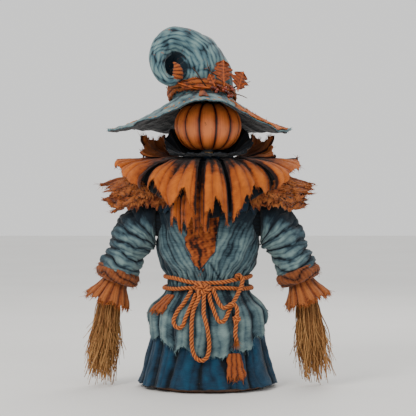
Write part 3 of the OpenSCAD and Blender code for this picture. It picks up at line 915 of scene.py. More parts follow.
# dark navy wool, darkened further as painted shade; it also dresses the armholes and the dark sheets that stand in for
# shade round the neck
COWL_AND_SHADE = Woven("dark_cowl_wool", dark="020509", mid="08141E", light="122C3F", stain="060F17", thread=1.4)
PETAL = Woven(
    "starched_burlap", dark="220B05", mid="9A4815", light="CE6E22", stain="6E2F10", stain_share=0.4, mottle=0.5,
    thread=1.2, weave=0.6, under="2A130A",
)
BACK_PETAL = Woven(
    "shaded_burlap", dark="1C0A05", mid="8A4520", light="C06E38", stain="4A2210", thread=1.5, weave=0.6, under="4A220F",
)
TUFT = Woven(
    "frayed_rust_burlap", dark="1C0A05", mid="7A3A1C", light="AE6634", stain="3A180C", stain_share=0.5,
    thread=1.6, weave=0.7, mottle=0.6, under="1A0B06",
)
CUFF = Woven("rolled_brown_burlap", dark="1C0C07", mid="5F301A", light="97552F", stain="2A140B", thread=1.6, weave=0.7)
RAG = Woven("rust_rag", dark="1E0C06", mid="783515", light="AE5C28", stain="3A1A0B", thread=1.5, weave=0.6, mottle=0.6)
HAT_FELT = Felt("worn_wool_felt")
JUTE = Rope("twisted_jute")
RIND = Rind("pumpkin_rind")
STRAW = Strand("dry_straw", dark="24140B", mid="835833", light="BC8C57")
THREAD = Strand("loose_burlap_thread", dark="3A180A", mid="8A451D", light="B86C32")
BLUE_THREAD = Strand("loose_slate_thread", dark="14303F", mid="4B6B78", light="8DA7A5")
STITCH = Strand("orange_stitch", dark="7A3C18", mid="C4702F", light="E9A052")
LEAF = Strand("dry_oak_leaf", dark="4A1D0B", mid="BC5A20", light="E08438", rough=0.6, gloss=0.35)
BERRY = Strand("berry_bead", dark="240D08", mid="6A2414", light="A0452A", rough=0.28, gloss=0.5)
TWIG = Strand("dry_twig", dark="22130B", mid="5C3820", light="8A5A34")
STALK = Strand("dried_stalk", dark="2B2412", mid="6C5A30", light="93824C")


# ---------------------------------------------------------------------------
# the studio
# ---------------------------------------------------------------------------


@dataclass
class Studio:
    """The camera, the lights and the pale floor."""

    middle: float = 303.0
    distance: float = 2.75
    lens: float = 140.0
    lift: float = 0.07

    def build(self) -> None:
        """Sets the camera, then the lights and the floor."""
        scene = bpy.context.scene
        data = bpy.data.cameras.new("front")
        data.lens = self.lens
        data.sensor_width = 36
        camera = bpy.data.objects.new("front", data)
        scene.collection.objects.link(camera)
        target = Vector((0, 0, self.middle * MM))
        camera.location = target + Vector((0, -self.distance, self.lift))
        camera.rotation_euler = (target - camera.location).to_track_quat("-Z", "Y").to_euler()
        scene.camera = camera
        self.light("key", (-1.0, -1.4, 1.5), 22, 0.6, (1.0, 0.96, 0.9))
        self.light("fill", (1.5, -1.4, 0.7), 4, 1.3, (0.92, 0.96, 1.0))
        self.light("back", (0.5, 1.4, 1.4), 9, 1.0, (1.0, 0.97, 0.92))
        world = bpy.data.worlds.new("pale")
        world.use_nodes = True
        world.node_tree.nodes["Background"].inputs[0].default_value = (0.93, 0.93, 0.92, 1)
        world.node_tree.nodes["Background"].inputs[1].default_value = 1.1
        scene.world = world
        self.floor()

    def light(self, name: str, at: tuple[float, float, float], power: float, size: float, colour: Colour) -> None:
        """Adds one soft area light that looks at the figure.

        Args:
            name: the light's name.
            at: its place in metres.
            power: in watts.
            size: its side in metres.
            colour: its colour.
        """
        data = bpy.data.lights.new(name, "AREA")
        data.energy, data.size, data.color = power, size, colour
        lamp = bpy.data.objects.new(name, data)
        bpy.context.scene.collection.objects.link(lamp)
        lamp.location = at
        lamp.rotation_euler = (Vector((0, 0, 0.3)) - Vector(at)).to_track_quat("-Z", "Y").to_euler()

    def floor(self) -> None:
        """Lays a wide pale floor."""
        half = 6000.0
        points = np.array([[[-half, -half, 0], [half, -half, 0]], [[-half, half, 0], [half, half, 0]]], float)
        made = surface("studio_floor", points)
        g = Graph("pale_floor")
        tone = g.noise(g.coordinates("Object", (1, 1, 1)), 3, 3, 0.5)
        colour = g.ramp(tone, [(0.3, (0.80, 0.79, 0.77)), (0.7, (0.84, 0.83, 0.81))])
        made.data.materials.append(g.finish(Base_Color=colour, Roughness=0.7))


# ---------------------------------------------------------------------------
# rope
# ---------------------------------------------------------------------------


@dataclass
class RopeWork:
    """The belt, its knot, the loops and the tail."""

    radius: float = 3.5
    pitch: float = 19.0
    belt: tuple[tuple[float, float, float, float], ...] = (
        (187, 73.1, 60.1, 8), (168, 74.6, 60.6, -3),
    )
    left_loop: tuple[tuple[float, float, float], ...] = (
        (-27, -68, 168), (-31, -68, 161), (-36, -69, 153), (-42, -72, 144), (-49, -76, 136), (-54, -78, 127),
        (-57, -80, 118), (-54, -83, 110), (-47, -86, 107), (-41, -87, 112), (-38, -86, 121),
        (-34, -83, 130), (-30, -79, 139), (-26, -75, 147), (-23, -71, 155), (-20, -68, 162),
    )
    centre_loop: tuple[tuple[float, float, float], ...] = (
        (-14, -76, 162), (-16, -79, 154), (-20, -82, 146), (-24, -86, 136), (-26, -90, 125), (-27, -93, 113),
        (-27, -95, 100), (-27, -95, 87), (-26, -95, 75), (-23, -95, 64), (-17, -95, 56), (-10, -95, 54),
        (-3, -95, 58), (1, -95, 68), (2, -95, 80), (1, -95, 93), (-1, -95, 106), (-4, -94, 119),
        (-7, -90, 131), (-7, -84, 143), (-7, -79, 154), (-6, -76, 164),
    )
    right_loop: tuple[tuple[float, float, float], ...] = (
        (2, -73, 165), (3, -76, 155), (6, -80, 145), (10, -84, 135), (14, -88, 125), (19, -90, 118),
        (25, -89, 118), (30, -86, 124), (34, -81, 133), (39, -75, 143), (45, -68, 153), (50, -61, 162),
        (54, -54, 170), (57, -49, 178), (57, -48, 186), (52, -49, 192), (46, -53, 190),
    )
    tail: tuple[tuple[float, float, float], ...] = (
        (6, -72, 172), (11, -72, 163), (15, -76, 154), (20, -81, 145), (26, -84, 140), (32, -84, 142),
        (38, -84, 146), (44, -82, 145), (48, -82, 138), (48, -84, 129), (47, -86, 121), (46, -88, 110),
        (45, -89, 98), (47, -89, 86),
    )
    tail_knot_at: tuple[float, float, float] = (47, -86, 121)

    def twisted(self, name: str, path: np.ndarray, radius: float, closed: bool = False) -> bpy.types.Object:
        """A three-strand rope along a path.

        Args:
            name: the piece's name.
            path: its middle line, in millimetres.
            radius: the rope's radius.
            closed: whether the path is a ring.

        Returns:
            A closed mesh.
        """
        gaps = np.linalg.norm(np.diff(path, axis=0), axis=1)
        length = float(gaps.sum()) + (float(np.linalg.norm(path[0] - path[-1])) if closed else 0)
        count = int(length / (0.36 * radius)) + 3
        if closed:
            fine = spline(np.vstack([path, path[:1]]), count + 1)[:-1]
        else:
            fine = spline(path, count)
        _, one, two = path_axes(fine, closed)
        run = np.arange(len(fine)) * length / len(fine)
        turns = length / (self.pitch * radius / self.radius)
        turns = round(turns * 3) / 3 if closed else turns
        twist = (run / length * turns * TAU)[:, None]
        around = (np.arange(18) * TAU / 18)[None, :]
        lobe = np.abs(np.cos(1.5 * (around - twist)))
        reach = radius * (0.66 + 0.36 * lobe**0.75)
        points = (
            fine[:, None]
            + one[:, None] * (reach * np.cos(around))[..., None]
            + two[:, None] * (reach * np.sin(around))[..., None]
        )
        # painted shade: "fold" is low between the strands and high on their crowns
        piece = surface(name, points, wrap=True, ring=closed, caps=(not closed, not closed), fold=lobe**0.8)
        return settle(piece)

    def ring_path(self, z: float, rx: float, ry: float, dip: float) -> np.ndarray:
        """The middle line of one turn of the belt."""
        a = np.arange(96) * TAU / 96
        bob = 0.8 * wander(a, (5, 8), int(z))
        return np.stack([rx * np.cos(a), ry * np.sin(a), z - dip * np.maximum(0, -np.sin(a)) ** 4 + bob], 1)

    def knot_path(self, middle: Sequence[float], wide: float, deep: float, high: float, lean: float) -> np.ndarray:
        """A trefoil, the line of a simple knot, flattened to a box."""
        t = np.arange(90) * TAU / 90
        x = (np.sin(t) + 2 * np.sin(2 * t)) / 3
        z = (np.cos(t) - 2 * np.cos(2 * t)) / 3
        y = -np.sin(3 * t)
        c, s = math.cos(lean), math.sin(lean)
        x, z = x * wide, z * high
        return np.array(middle) + np.stack([c * x + s * z, y * deep, c * z - s * x], 1)

    def lead(self, name: str, route: Sequence[Sequence[float]]) -> bpy.types.Object:
        """One free length of rope.

        Args:
            name: the piece's name, which is its node's name with _twist.
            route: the points that it follows.

        Returns:
            The dressed piece.
        """
        piece = self.twisted(f"{name}_twist", np.array(route, float), self.radius)
        place(piece, "figure", JUTE.material(), [name])
        return piece

    def build(self) -> None:
        """Makes the free lengths first, then the belt and the knots."""
        self.lead("rope_loop_left", self.left_loop)
        self.lead("rope_loop_centre", self.centre_loop)
        self.lead("rope_loop_right", self.right_loop)
        self.lead("rope_tail", self.tail)
        for node, turn in zip(("belt_upper_turn", "belt_lower_turn"), self.belt):
            ring = self.twisted(f"{node}_twist", self.ring_path(*turn), self.radius, closed=True)
            place(ring, "figure", JUTE.material(), [node])
        knot = joined("waist_knot", [
            self.twisted("a", self.knot_path((-10, -71, 171), 12.5, 5.5, 9, 0.3), 4.0, closed=True),
            self.twisted("b", self.knot_path((-9, -72, 170), 8, 6.5, 6.5, -0.5), 3.4, closed=True),
        ])
        place(knot, "figure", JUTE.material(), ["rope_knot"])
        small = self.twisted("tail_knot_wrap", self.knot_path(self.tail_knot_at, 4.6, 3.4, 5.2, 0.2), 2.9, closed=True)
        place(small, "figure", JUTE.material(), ["tail_knot"])
        self.frayed_end()

    def frayed_end(self) -> None:
        """The brush of fibres at the end of the tail."""
        rng = np.random.default_rng(8)
        end, count = np.array(self.tail[-1], float), 90
        spots = end + rng.normal(scale=(1.2, 1.2, 0.6), size=(count, 3)) + (0, 0, 3)
        aims = np.array([0.05, 0, -1]) + rng.normal(scale=(0.24, 0.2, 0.1), size=(count, 3))
        sizes = np.stack([np.full(count, 0.75), np.full(count, 0.75), rng.uniform(9, 19, count)], 1)
        brush = SCATTER.over("tail_brush", spots, aims, sizes, blade(2.5, 3, 3), THREAD.material(), seed=8)
        place(brush, "figure", THREAD.material())


# ---------------------------------------------------------------------------
# the body's clothes
# ---------------------------------------------------------------------------


def rings_at(rings: Sequence[Sequence[float]], heights: np.ndarray) -> tuple[np.ndarray, np.ndarray]:
    """Half widths and half depths at heights, from rings of (height, half width, half depth)."""
    table = np.array(rings, float)
    smooth = spline(table, 200)
    order = np.argsort(smooth[:, 0])
    return (
        np.interp(heights, smooth[order, 0], smooth[order, 1]),
        np.interp(heights, smooth[order, 0], smooth[order, 2]),
    )


@dataclass
class Tunic:
    """The stuffed tunic with its open neck, the shirt in the opening and the dark cowl."""

    rings: tuple[tuple[float, float, float], ...] = (
        (166, 66, 53), (173, 68, 55), (187, 68, 55), (197, 74, 58), (208, 81, 61), (224, 86, 63), (245, 87, 62),
        (262, 86, 60), (282, 86, 57), (304, 85, 50), (318, 76, 46), (328, 60, 42), (346, 30, 28),
    )
    neck: tuple[tuple[float, float], ...] = ((-14, 202), (-36, 243), (-27, 302), (19, 302), (11, 232))

    def neck_distance(self, x: np.ndarray, z: np.ndarray) -> np.ndarray:
        """How far outside the open neck each point is, in millimetres; inside is below 0."""
        corners = np.array(self.neck, float)
        best = np.full(x.shape, 1e9)
        inside = np.zeros(x.shape, bool)
        for (x0, z0), (x1, z1) in zip(corners, np.roll(corners, -1, 0)):
            dx, dz = x1 - x0, z1 - z0
            t = np.clip(((x - x0) * dx + (z - z0) * dz) / (dx * dx + dz * dz), 0, 1)
            best = np.minimum(best, np.hypot(x - x0 - t * dx, z - z0 - t * dz))
            cross = (z0 > z) != (z1 > z)
            with np.errstate(divide="ignore", invalid="ignore"):
                inside ^= cross & (x < (x1 - x0) * (z - z0) / (z1 - z0 if z1 != z0 else 1e-9) + x0)
        return np.where(inside, -best, best)

    def shape(self) -> tuple[Grid, Grid]:
        """The tunic's points, and how high each lies in the folds."""
        cols, rows = 380, 160
        a = (np.arange(cols) * TAU / cols)[None, :]
        z = np.linspace(self.rings[0][0], self.rings[-1][0], rows)[:, None]
        rx, ry = rings_at(self.rings, z)
        flat = np.stack([rx * np.cos(a), ry * np.sin(a), z + 0 * a], 2)
        drift = 0.09 * swell(flat, 100, 3, 2) + 0.03 * swell(flat, 34, 4, 2)
        gather = puff(34 * (a + drift + 0.05 * wander(a, (3, 5, 8), 2)), 0.6)
        low = np.exp(-(((z - 183) / 26) ** 2))
        slope = 0.0056 * (z - 230) * np.tanh(np.cos(a) / 0.2)
        hang = puff(11 * (a - slope + 1.3 * drift), 0.55)
        broad = np.exp(-(((z - 246) / 46) ** 2))
        crease = puff(7 * (a - 1.7 * slope + 1.5 * drift) + 1.3, 0.45)
        rise = 4.2 * low * (gather - 0.75) + 4.6 * broad * (hang - 0.8) + 3.4 * broad * (crease - 0.85)
        rise += 1.5 * swell(flat, 34, 9, 2)
        front = flat[..., 1] < 0
        gap = np.where(front, self.neck_distance(flat[..., 0], flat[..., 2]), 60)
        rise += np.where(gap < 0, -3.2, 2.2 * np.exp(-((gap - 2.5) / 3) ** 2))
        wrap_line = np.abs((flat[..., 0] - 3) + 0.62 * (flat[..., 2] - 213))
        seam = np.exp(-((wrap_line / 2.2) ** 2)) * front * (flat[..., 2] < 214)
        rise -= 2.4 * seam
        out = np.stack([np.cos(a) / rx, np.sin(a) / ry, 0 * z + 0 * a], 2)
        out /= np.linalg.norm(out, axis=2, keepdims=True)
        points = flat + rise[..., None] * out
        points[..., 0] = np.clip(points[..., 0], -88.3, 88.3)
        thread = puff(57 * (a + 0.8 * drift - 1.1 * slope), 0.7)
        # painted shade: darker on the flanks, and in the groove along the wrap line
        height = np.clip(
            0.46 + 0.5 * low * (gather - 0.6) + 0.42 * broad * (hang - 0.62) + 0.34 * broad * (crease - 0.72)
            + 0.34 * (thread - 0.6) + 0.10 * swell(flat, 40, 5, 2) - 0.35 * seam - 0.3 * np.abs(np.cos(a)) ** 6,
            0, 1,
        )
        # painted shadow under the collar, and a darker line along the edge of the open neck
        height = height * (1 - 0.8 * smooth_step(256, 298, flat[..., 2])) * (1 - 0.5 * (np.abs(gap) < 2.2))
        return points, height

    def build(self) -> None:
        """Makes the tunic, the shirt patch and the cowl."""
        points, height = self.shape()
        body = settle(surface("tunic_body", points, wrap=True, caps=(True, True), fold=height))
        place(body, "figure", SLATE.material(), ["tunic", "torso_stuffing"])
        self.shirt()
        self.cowl()
        for side in Side:
            self.armhole(side)

    def armhole(self, side: Side) -> None:
        """The gathered ring of cloth that covers one shoulder joint.

        Args:
            side: which shoulder.
        """
        cols, rows = 160, 16
        a = (np.arange(cols) * TAU / cols)[None, :]
        t = np.linspace(0, 1, rows)[:, None]
        pleat = puff(23 * (a + 0.05 * wander(a, (2, 3, 5), 77)), 0.6)
        r = 25.5 - 3.5 * t + 1.4 * (pleat - 0.6) * (1 - t)
        x = 72 + 16.6 * t**0.8
        points = np.stack([side.value * x + 0 * a, r * np.cos(a), 278 + r * np.sin(a)], 2)
        cloth = thicken(surface(f"{side.word}_armhole", points, wrap=True, fold=np.clip(0.05 + 0.4 * pleat, 0, 1) + 0 * t), 1.2)
        place(cloth, "figure", COWL_AND_SHADE.material())
        lay_out(cloth)

    def shirt(self) -> None:
        """The burlap shirt that shows in the open neck."""
        cols, rows = 70, 110
        z = np.linspace(197, 312, rows)[:, None]
        u = np.linspace(-1, 1, cols)[None, :]
        left = np.interp(z, [197, 243, 312], [-16, -40, -30])
        right = np.interp(z, [197, 232, 312], [-10, 14, 22])
        x = (left + right) / 2 + u * (right - left) / 2
        rx, ry = rings_at(self.rings, z)
        y = -ry * np.sqrt(np.clip(1 - (x / rx) ** 2, 0.05, 1))
        flat = np.stack([x, y, z + 0 * x], 2)
        pleat = puff(5.5 * u + 0.03 * z + 1.2 * swell(flat, 60, 12, 2), 0.6)
        points = flat + np.array([0, -1, 0]) * (0.9 * pleat + 0.5 * swell(flat, 12, 13, 2) - 0.4)[..., None]
        height = np.clip(0.05 + 0.7 * pleat + 0.3 * swell(flat, 9, 14, 2), 0, 1)
        cloth = thicken(surface("shirt_front", points, fold=height), 1.2)
        place(cloth, "figure", RAG.material(), ["undershirt"])
        lay_out(cloth)
        edge = points[0]
        threads = fringe("shirt_fray", edge, np.tile([0, -0.1, -1.0], (cols, 1)), 7, THREAD.material(), 15)
        place(threads, "figure", THREAD.material())

    def cowl(self) -> None:
        """The dark hood cloth round the neck, which lies over the shoulders under the collar."""
        cols, rows = 280, 76
        a = (np.arange(cols) * TAU / cols)[None, :]
        line = spline([
            (27, 27, 396), (39, 39, 394), (44, 44, 388), (44.5, 44.5, 376), (47, 44, 362), (58, 47, 346),
            (74, 50, 330), (84, 54, 314), (87, 59, 298),
        ], rows)
        rx, ry, z = (line[:, k][:, None] for k in range(3))
        flat = np.stack([rx * np.cos(a), ry * np.sin(a), z + 0 * a], 2)
        t = np.linspace(0, 1, rows)[:, None]
        phase = 19 * (a + 0.06 * wander(a, (2, 3, 5), 21)) + 2 * swell(flat, 50, 22, 2)
        fold = puff(phase, 0.6)
        reach = (1.2 + 2.8 * t) * (fold - 0.6)
        drop = 7 * t**6 * (wander(a, (3, 7, 17, 31), 23) - 0.5)
        out = np.stack([np.cos(a) + 0 * t, np.sin(a) + 0 * t, 0 * a + 0 * t], 2)
        points = flat + out * reach[..., None]
        points[..., 2] += drop
        points[..., 0] = np.clip(points[..., 0], -88.0, 88.0)
        cloth = thicken(surface("cowl_cloth", points, wrap=True, fold=np.clip(fold, 0, 1)), 1.6, -1)
        place(cloth, "figure", COWL_AND_SHADE.material(), ["neck_cowl"])
        lay_out(cloth)


@dataclass
class Skirts:
    """The tunic's ragged skirt, the robe under it, and their patches."""

    peplum_rings: tuple[tuple[float, float, float], ...] = (
        (50, 100, 88), (82, 103, 90), (110, 104, 88), (134, 98, 80), (150, 82, 66), (162, 71.5, 57.5), (173, 69.5, 56),
    )
    robe_rings: tuple[tuple[float, float, float], ...] = (
        (6, 118.5, 109.5), (45, 106, 89), (100, 92, 77), (135, 80, 65), (166, 64, 51),
    )
    hem: tuple[tuple[float, float], ...] = (
        (0, 136), (12, 122), (25, 104), (40, 92), (60, 100), (80, 88), (100, 96), (120, 86), (140, 98), (158, 104),
        (170, 118), (180, 127), (188, 112), (197, 104), (208, 82), (216, 92), (225, 84), (236, 66), (246, 76),
        (255, 66), (265, 58), (276, 60), (284, 56), (295, 74), (303, 66), (314, 70), (322, 92), (331, 88), (341, 106),
        (350, 128), (360, 136),
    )

    def skirt(
        self,
        name: str,
        rings: Sequence[Sequence[float]],
        top: float,
        bottom: Callable[[np.ndarray], np.ndarray],
        folds: float,
        depth: float,
        seed: int,
    ) -> tuple[bpy.types.Object, Grid]:
        """A gathered tube of cloth that hangs from a belt.

        Args:
            name: the piece's name.
            rings: its outline.
            top: the height of its upper edge.
            bottom: the height of the hem at each angle.
            folds: how many folds go round.
            depth: how deep they are at the hem.
            seed: which folds.

        Returns:
            The sheet, one layer thick, and its points.
        """
        cols, rows = 440, 80
        a = (np.arange(cols) * TAU / cols)[None, :]
        t = np.linspace(0, 1, rows)[:, None]
        z = top + (bottom(a) - top) * t
        rx, ry = rings_at(rings, z)
        flat = np.stack([rx * np.cos(a), ry * np.sin(a), z], 2)
        sway = 0.055 * wander(a, (2, 3, 5, 9), seed) + 0.05 * swell(flat, 110, seed + 1, 2)
        main = puff(folds * (a + sway), 0.62)
        fine = puff(2.6 * folds * (a + 1.3 * sway) + 0.9, 0.6)
        spread = smooth_step(0, 0.5, t)
        rise = depth * spread * (main - 0.72) + (1.6 - 0.5 * spread) * (fine - 0.7) + 1.1 * swell(flat, 40, seed + 2, 2)
        out = np.stack([np.cos(a) / rx, np.sin(a) / ry, 0 * z], 2)
        out /= np.linalg.norm(out, axis=2, keepdims=True)
        points = flat + out * rise[..., None]
        # painted shade: darker towards the top, near the belt
        height = np.clip(-0.1 + 0.62 * main + 0.3 * fine + 0.14 * swell(flat, 24, seed + 3, 2) - 0.32 * (1 - spread), 0, 1)
        return surface(name, points, wrap=True, fold=height), points

    def build(self) -> None:
        """Makes the robe, the ragged skirt and the rags."""
        robe, laid = self.skirt(
            "robe_cloth", self.robe_rings, 163, lambda a: 7.6 + 1.0 * wander(a, (7, 19, 33), 41), 15, 6.5, 40
        )
        thicken(robe, 2.0, -1)
        place(robe, "figure", NAVY.material(), ["robe", "skirt_stuffing"])
        lay_out(robe)
        angles, heights = (np.radians([h[0] for h in self.hem]), [h[1] for h in self.hem])

        def hem(a: np.ndarray) -> np.ndarray:
            """The ragged hem of the tunic's skirt."""
            return np.interp(a % TAU, angles, heights) + 1.7 * wander(a, (29, 47, 73, 111), 52)

        skirt, points = self.skirt("tunic_skirt", self.peplum_rings, 172.5, hem, 17, 8.5, 50)
        thicken(skirt, 1.6, -1)
        place(skirt, "figure", SLATE.material(), ["peplum"])
        lay_out(skirt)
        last = points[-1]
        ways = last - points[-6]
        threads = fringe("skirt_fray", last, ways, 6, BLUE_THREAD.material(), 53, 0.6, 0.6)
        place(threads, "figure", BLUE_THREAD.material())
        self.rag("waist_rag", "waist_patch", self.peplum_rings, (203, 226), (158, 131), 9, 61)
        self.rag("robe_rag", "robe_patch", self.robe_rings, (286, 303), (64, 24), 3.5, 62)

    def rag(
        self,
        name: str,
        node: str,
        rings: Sequence[Sequence[float]],
        angles: tuple[float, float],
        span: tuple[float, float],
        lift: float,
        seed: int,
    ) -> None:
        """A torn rust-coloured rag that lies on a skirt.

        Args:
            name: the piece's name.
            node: the node that it replaces.
            rings: the outline of the skirt under it.
            angles: its left and right side round the waist, in degrees.
            span: its upper and lower height.
            lift: how far it stands off the skirt.
            seed: which tears.
        """
        cols, rows = 46, 46
        u = np.linspace(0, 1, cols)[None, :]
        t = np.linspace(0, 1, rows)[:, None]
        narrow = 1 - 0.3 * (1 - t) ** 2 + 0.05 * np.sin(9 * t)
        a = np.radians(angles[0] + (angles[1] - angles[0]) * (0.5 + (u - 0.5) * narrow + 0.02 * np.sin(17 * t)))
        ragged = 0.12 * wander(u * TAU, (2, 5, 9, 15), seed)
        z = span[0] + (span[1] - span[0]) * t * (1 + ragged * t)
        rx, ry = rings_at(rings, z)
        flat = np.stack([rx * np.cos(a), ry * np.sin(a), z], 2)
        fold = puff(3.1 * TAU * u + 2.2 * t, 0.6)
        rise = 2.4 + lift * 0.25 * fold * (0.4 + t) + 0.6 * swell(flat, 14, seed, 2)
        out = np.stack([np.cos(a) / rx, np.sin(a) / ry, 0 * z], 2)
        out /= np.linalg.norm(out, axis=2, keepdims=True)
        points = flat + out * rise[..., None]
        cloth = thicken(surface(name, points, fold=np.clip(0.15 + 0.8 * fold, 0, 1)), 1.2, 1)
        place(cloth, "figure", RAG.material(), [node])
        lay_out(cloth)
        ways = points[-1] - points[-4]
        threads = fringe(f"{name}_fray", points[-1], ways, 6, THREAD.material(), seed, 0.8)
        place(threads, "figure", THREAD.material())


# ---------------------------------------------------------------------------
# collar and shoulders
# ---------------------------------------------------------------------------


@dataclass(frozen=True)
class Petal:
    """One fan of burlap: angles round the neck in degrees, and reach and fall at its two sides."""

    name: str
    angles: tuple[float, float]
    reach: tuple[float, float]
    drop: tuple[float, float]
    folds: float
    tips: float
    seed: int
    root: float = 386.0
    # painted shade laid over the whole petal; below 0 it lightens the petal instead
    dull: float = 0.0
    jag: float = 0.17


@dataclass
class Collar:
    """The ruff of burlap petals."""

    inner: float = 44.0
    front: tuple[Petal, ...] = (
        Petal("collar_petal_front_left", (207, 259), (116, 103), (48, 86), 3.4, 2, 101, jag=0.28),
        Petal("collar_petal_front_middle", (266, 289), (102, 104), (88, 92), 1.6, 1, 102, 385, jag=0.24),
        Petal("collar_petal_front_right", (292, 333), (104, 116), (90, 48), 2.8, 1, 103, jag=0.28),
        Petal("collar_petal_front_under", (226, 271), (92, 90), (92, 104), 5, 4, 104, 377, 0.25, 0.1),
    )
    sides: tuple[Petal, ...] = (
        Petal("collar_petal_left", (164, 212), (162, 134), (2, 46), 4, 1, 105, 387),
        Petal("collar_petal_right", (328, 376), (134, 162), (46, 2), 4, 1, 106, 387),
    )
    back: tuple[Petal, ...] = (
        Petal("collar_petal_back_left", (128, 166), (119, 114), (-38, -36), 4, 1, 107, dull=-0.25),
        Petal("collar_petal_back_left_low", (158, 184), (113, 112), (-34, -3), 3, 1, 112, dull=-0.2),
        Petal("collar_petal_back_right", (14, 52), (114, 119), (-36, -38), 4, 1, 108, dull=-0.25),
        Petal("collar_petal_back_right_low", (-4, 22), (112, 113), (-3, -34), 3, 1, 113, dull=-0.2),
        Petal("collar_petal_back_a", (48, 78), (106, 106), (40, 74), 4, 2, 109),
        Petal("collar_petal_back_b", (74, 106), (106, 106), (76, 76), 4, 2, 110),
        Petal("collar_petal_back_c", (102, 132), (106, 106), (74, 40), 4, 2, 111),
    )

    def make(self, petal: Petal) -> tuple[bpy.types.Object, Grid]:
        """Shapes one petal.

        Args:
            petal: its sizes.

        Returns:
            The thickened sheet and the points of its outer face.
        """
        rows, cols = 60, 92
        u = np.linspace(0, 1, rows)[:, None]
        t = np.linspace(0, 1, cols)[None, :]
        rng = np.random.default_rng(petal.seed)
        tip = np.abs(np.cos(math.pi * petal.tips * (t + 0.06 * np.sin(5 * t + petal.seed)))) ** 1.6
        torn = petal.jag * (tip - 1) + 0.068 + 0.05 * wander(t * TAU, (2, 3, 5), petal.seed) + 0.014 * wander(t * TAU, (13, 23, 37), petal.seed)
        long = u * (1 + torn * smooth_step(0.25, 1, u))
        squeeze = 1 - 0.10 * (1 - u) ** 2
        angle = np.radians(petal.angles[0] + (petal.angles[1] - petal.angles[0]) * (0.5 + (t - 0.5) * squeeze))
        reach = petal.reach[0] + (petal.reach[1] - petal.reach[0]) * t
        drop = petal.drop[0] + (petal.drop[1] - petal.drop[0]) * t
        bent = np.sin(np.minimum(long, 1.12) * math.pi / 2)
        r = self.inner + (reach - self.inner) * bent
        z = petal.root - drop * (1 - np.cos(long * math.pi / 2)) + 1.2
        flat = np.stack([r * np.cos(angle), r * np.sin(angle), z + 0 * r], 2)
        lean = 0.35 * swell(flat, 80, petal.seed + 1, 2)
        spread = t + 0.05 * np.sin(TAU * t + rng.uniform(0, TAU)) + 0.06 * lean
        main = puff(petal.folds * math.pi * spread + 0.9, 0.6)
        fine = puff(petal.folds * 2.7 * math.pi * (spread + 0.04 * wander(t * TAU, (1, 2, 3), petal.seed + 5)) + petal.seed, 0.55)
        normal = normals_of(flat, False)
        normal *= np.sign(normal[..., 2:].mean() if abs(normal[..., 2].mean()) > 0.05 else 1)
        grow = (0.25 + 0.75 * smooth_step(0, 0.8, u))
        curl = 7.0 * smooth_step(0.7, 1.05, u) * (tip - 0.5) * rng.uniform(-1, 0.4)
        rise = grow * (7.5 * (main - 0.65) + 2.4 * (fine - 0.6)) + 0.8 * swell(flat, 26, petal.seed + 2, 2) + curl
        points = flat + normal * rise[..., None]
        # lighter, with flatter folds, towards the outer end
        toward_edge = smooth_step(0.45, 0.95, u)
        # painted shade: darker near the neck and along both sides, where the petals meet
        height = np.clip(
            -0.96 + (0.66 * main + 0.56 * fine) * (1 - 0.4 * toward_edge) + 0.42 * toward_edge + 0.78 * smooth_step(0.05, 0.72, u)
            + 0.1 * swell(flat, 18, petal.seed + 3, 2) - petal.dull - 0.75 * np.exp(-((np.minimum(t, 1 - t) / 0.05) ** 2)),
            0, 1,
        )
        return thicken(surface(petal.name, points, fold=height), 1.3), points

    def lining(self) -> None:
        """A dark pleated ruff between the petals and the head, standing in for the shade under the brim round the neck.
        """
        cols, rows = 400, 34
        a = (np.arange(cols) * TAU / cols)[None, :]
        u = np.linspace(0, 1, rows)[:, None]
        back = smooth_step(-0.75, 0.35, np.sin(a))
        r = 38 + (42 - 14 * back) * u + 3.5 * u**3 * wander(a, (5, 9, 14, 23, 41), 121)
        flat = np.stack([r * np.cos(a), r * np.sin(a), 391 + 3.5 * u**1.5 + 42 * back * u**1.15 + 0 * a], 2)
        pleat = puff(21 * (a + 0.05 * wander(a, (2, 3, 5), 122)) + 0.3 * u, 0.6)
        fine = puff(55 * (a + 0.02 * wander(a, (3, 4), 123)), 0.6)
        points = flat + np.array([0, 0, 1.0]) * (u**0.7 * (5.5 * (pleat - 0.6) + 1.5 * (fine - 0.6)))[..., None]
        height = np.clip(-0.2 + 0.5 * pleat + 0.25 * fine + 0.1 * u, 0, 1)
        cloth = thicken(surface("collar_lining", points, wrap=True, fold=height), 1.2)
        place(cloth, "figure", COWL_AND_SHADE.material())
        lay_out(cloth)

    def mantle(self) -> None:
        """A dark cloth under the front and side petals, which fills the gaps between them as painted shade."""
        cols, rows = 320, 34
        a = np.radians(np.linspace(142, 398, cols))[None, :]
        u = np.linspace(0, 1, rows)[:, None]
        sideways = np.cos(a) ** 2
        r = self.inner + (84 + 40 * sideways**1.5 - self.inner) * np.sin(u * math.pi / 2)
        high = sideways**3
        z = 382 + 4 * high - (94 - 56 * sideways) * (1 - np.cos(u * math.pi / 2)) ** (1 + 0.6 * high)
        flat = np.stack([r * np.cos(a), r * np.sin(a), z], 2)
        pleat = puff(34 * (a + 0.03 * wander(a, (2, 3, 5), 125)) + 0.5 * u, 0.6)
        points = flat + normals_of(flat, False) * (2.6 * u * (pleat - 0.6) + 0.8 * swell(flat, 30, 126, 2) * u)[..., None]
        cloth = thicken(surface("collar_mantle", points, fold=np.clip(-0.1 + 0.5 * pleat + 0 * u, 0, 1)), 1.2)
        place(cloth, "figure", COWL_AND_SHADE.material())
        lay_out(cloth)

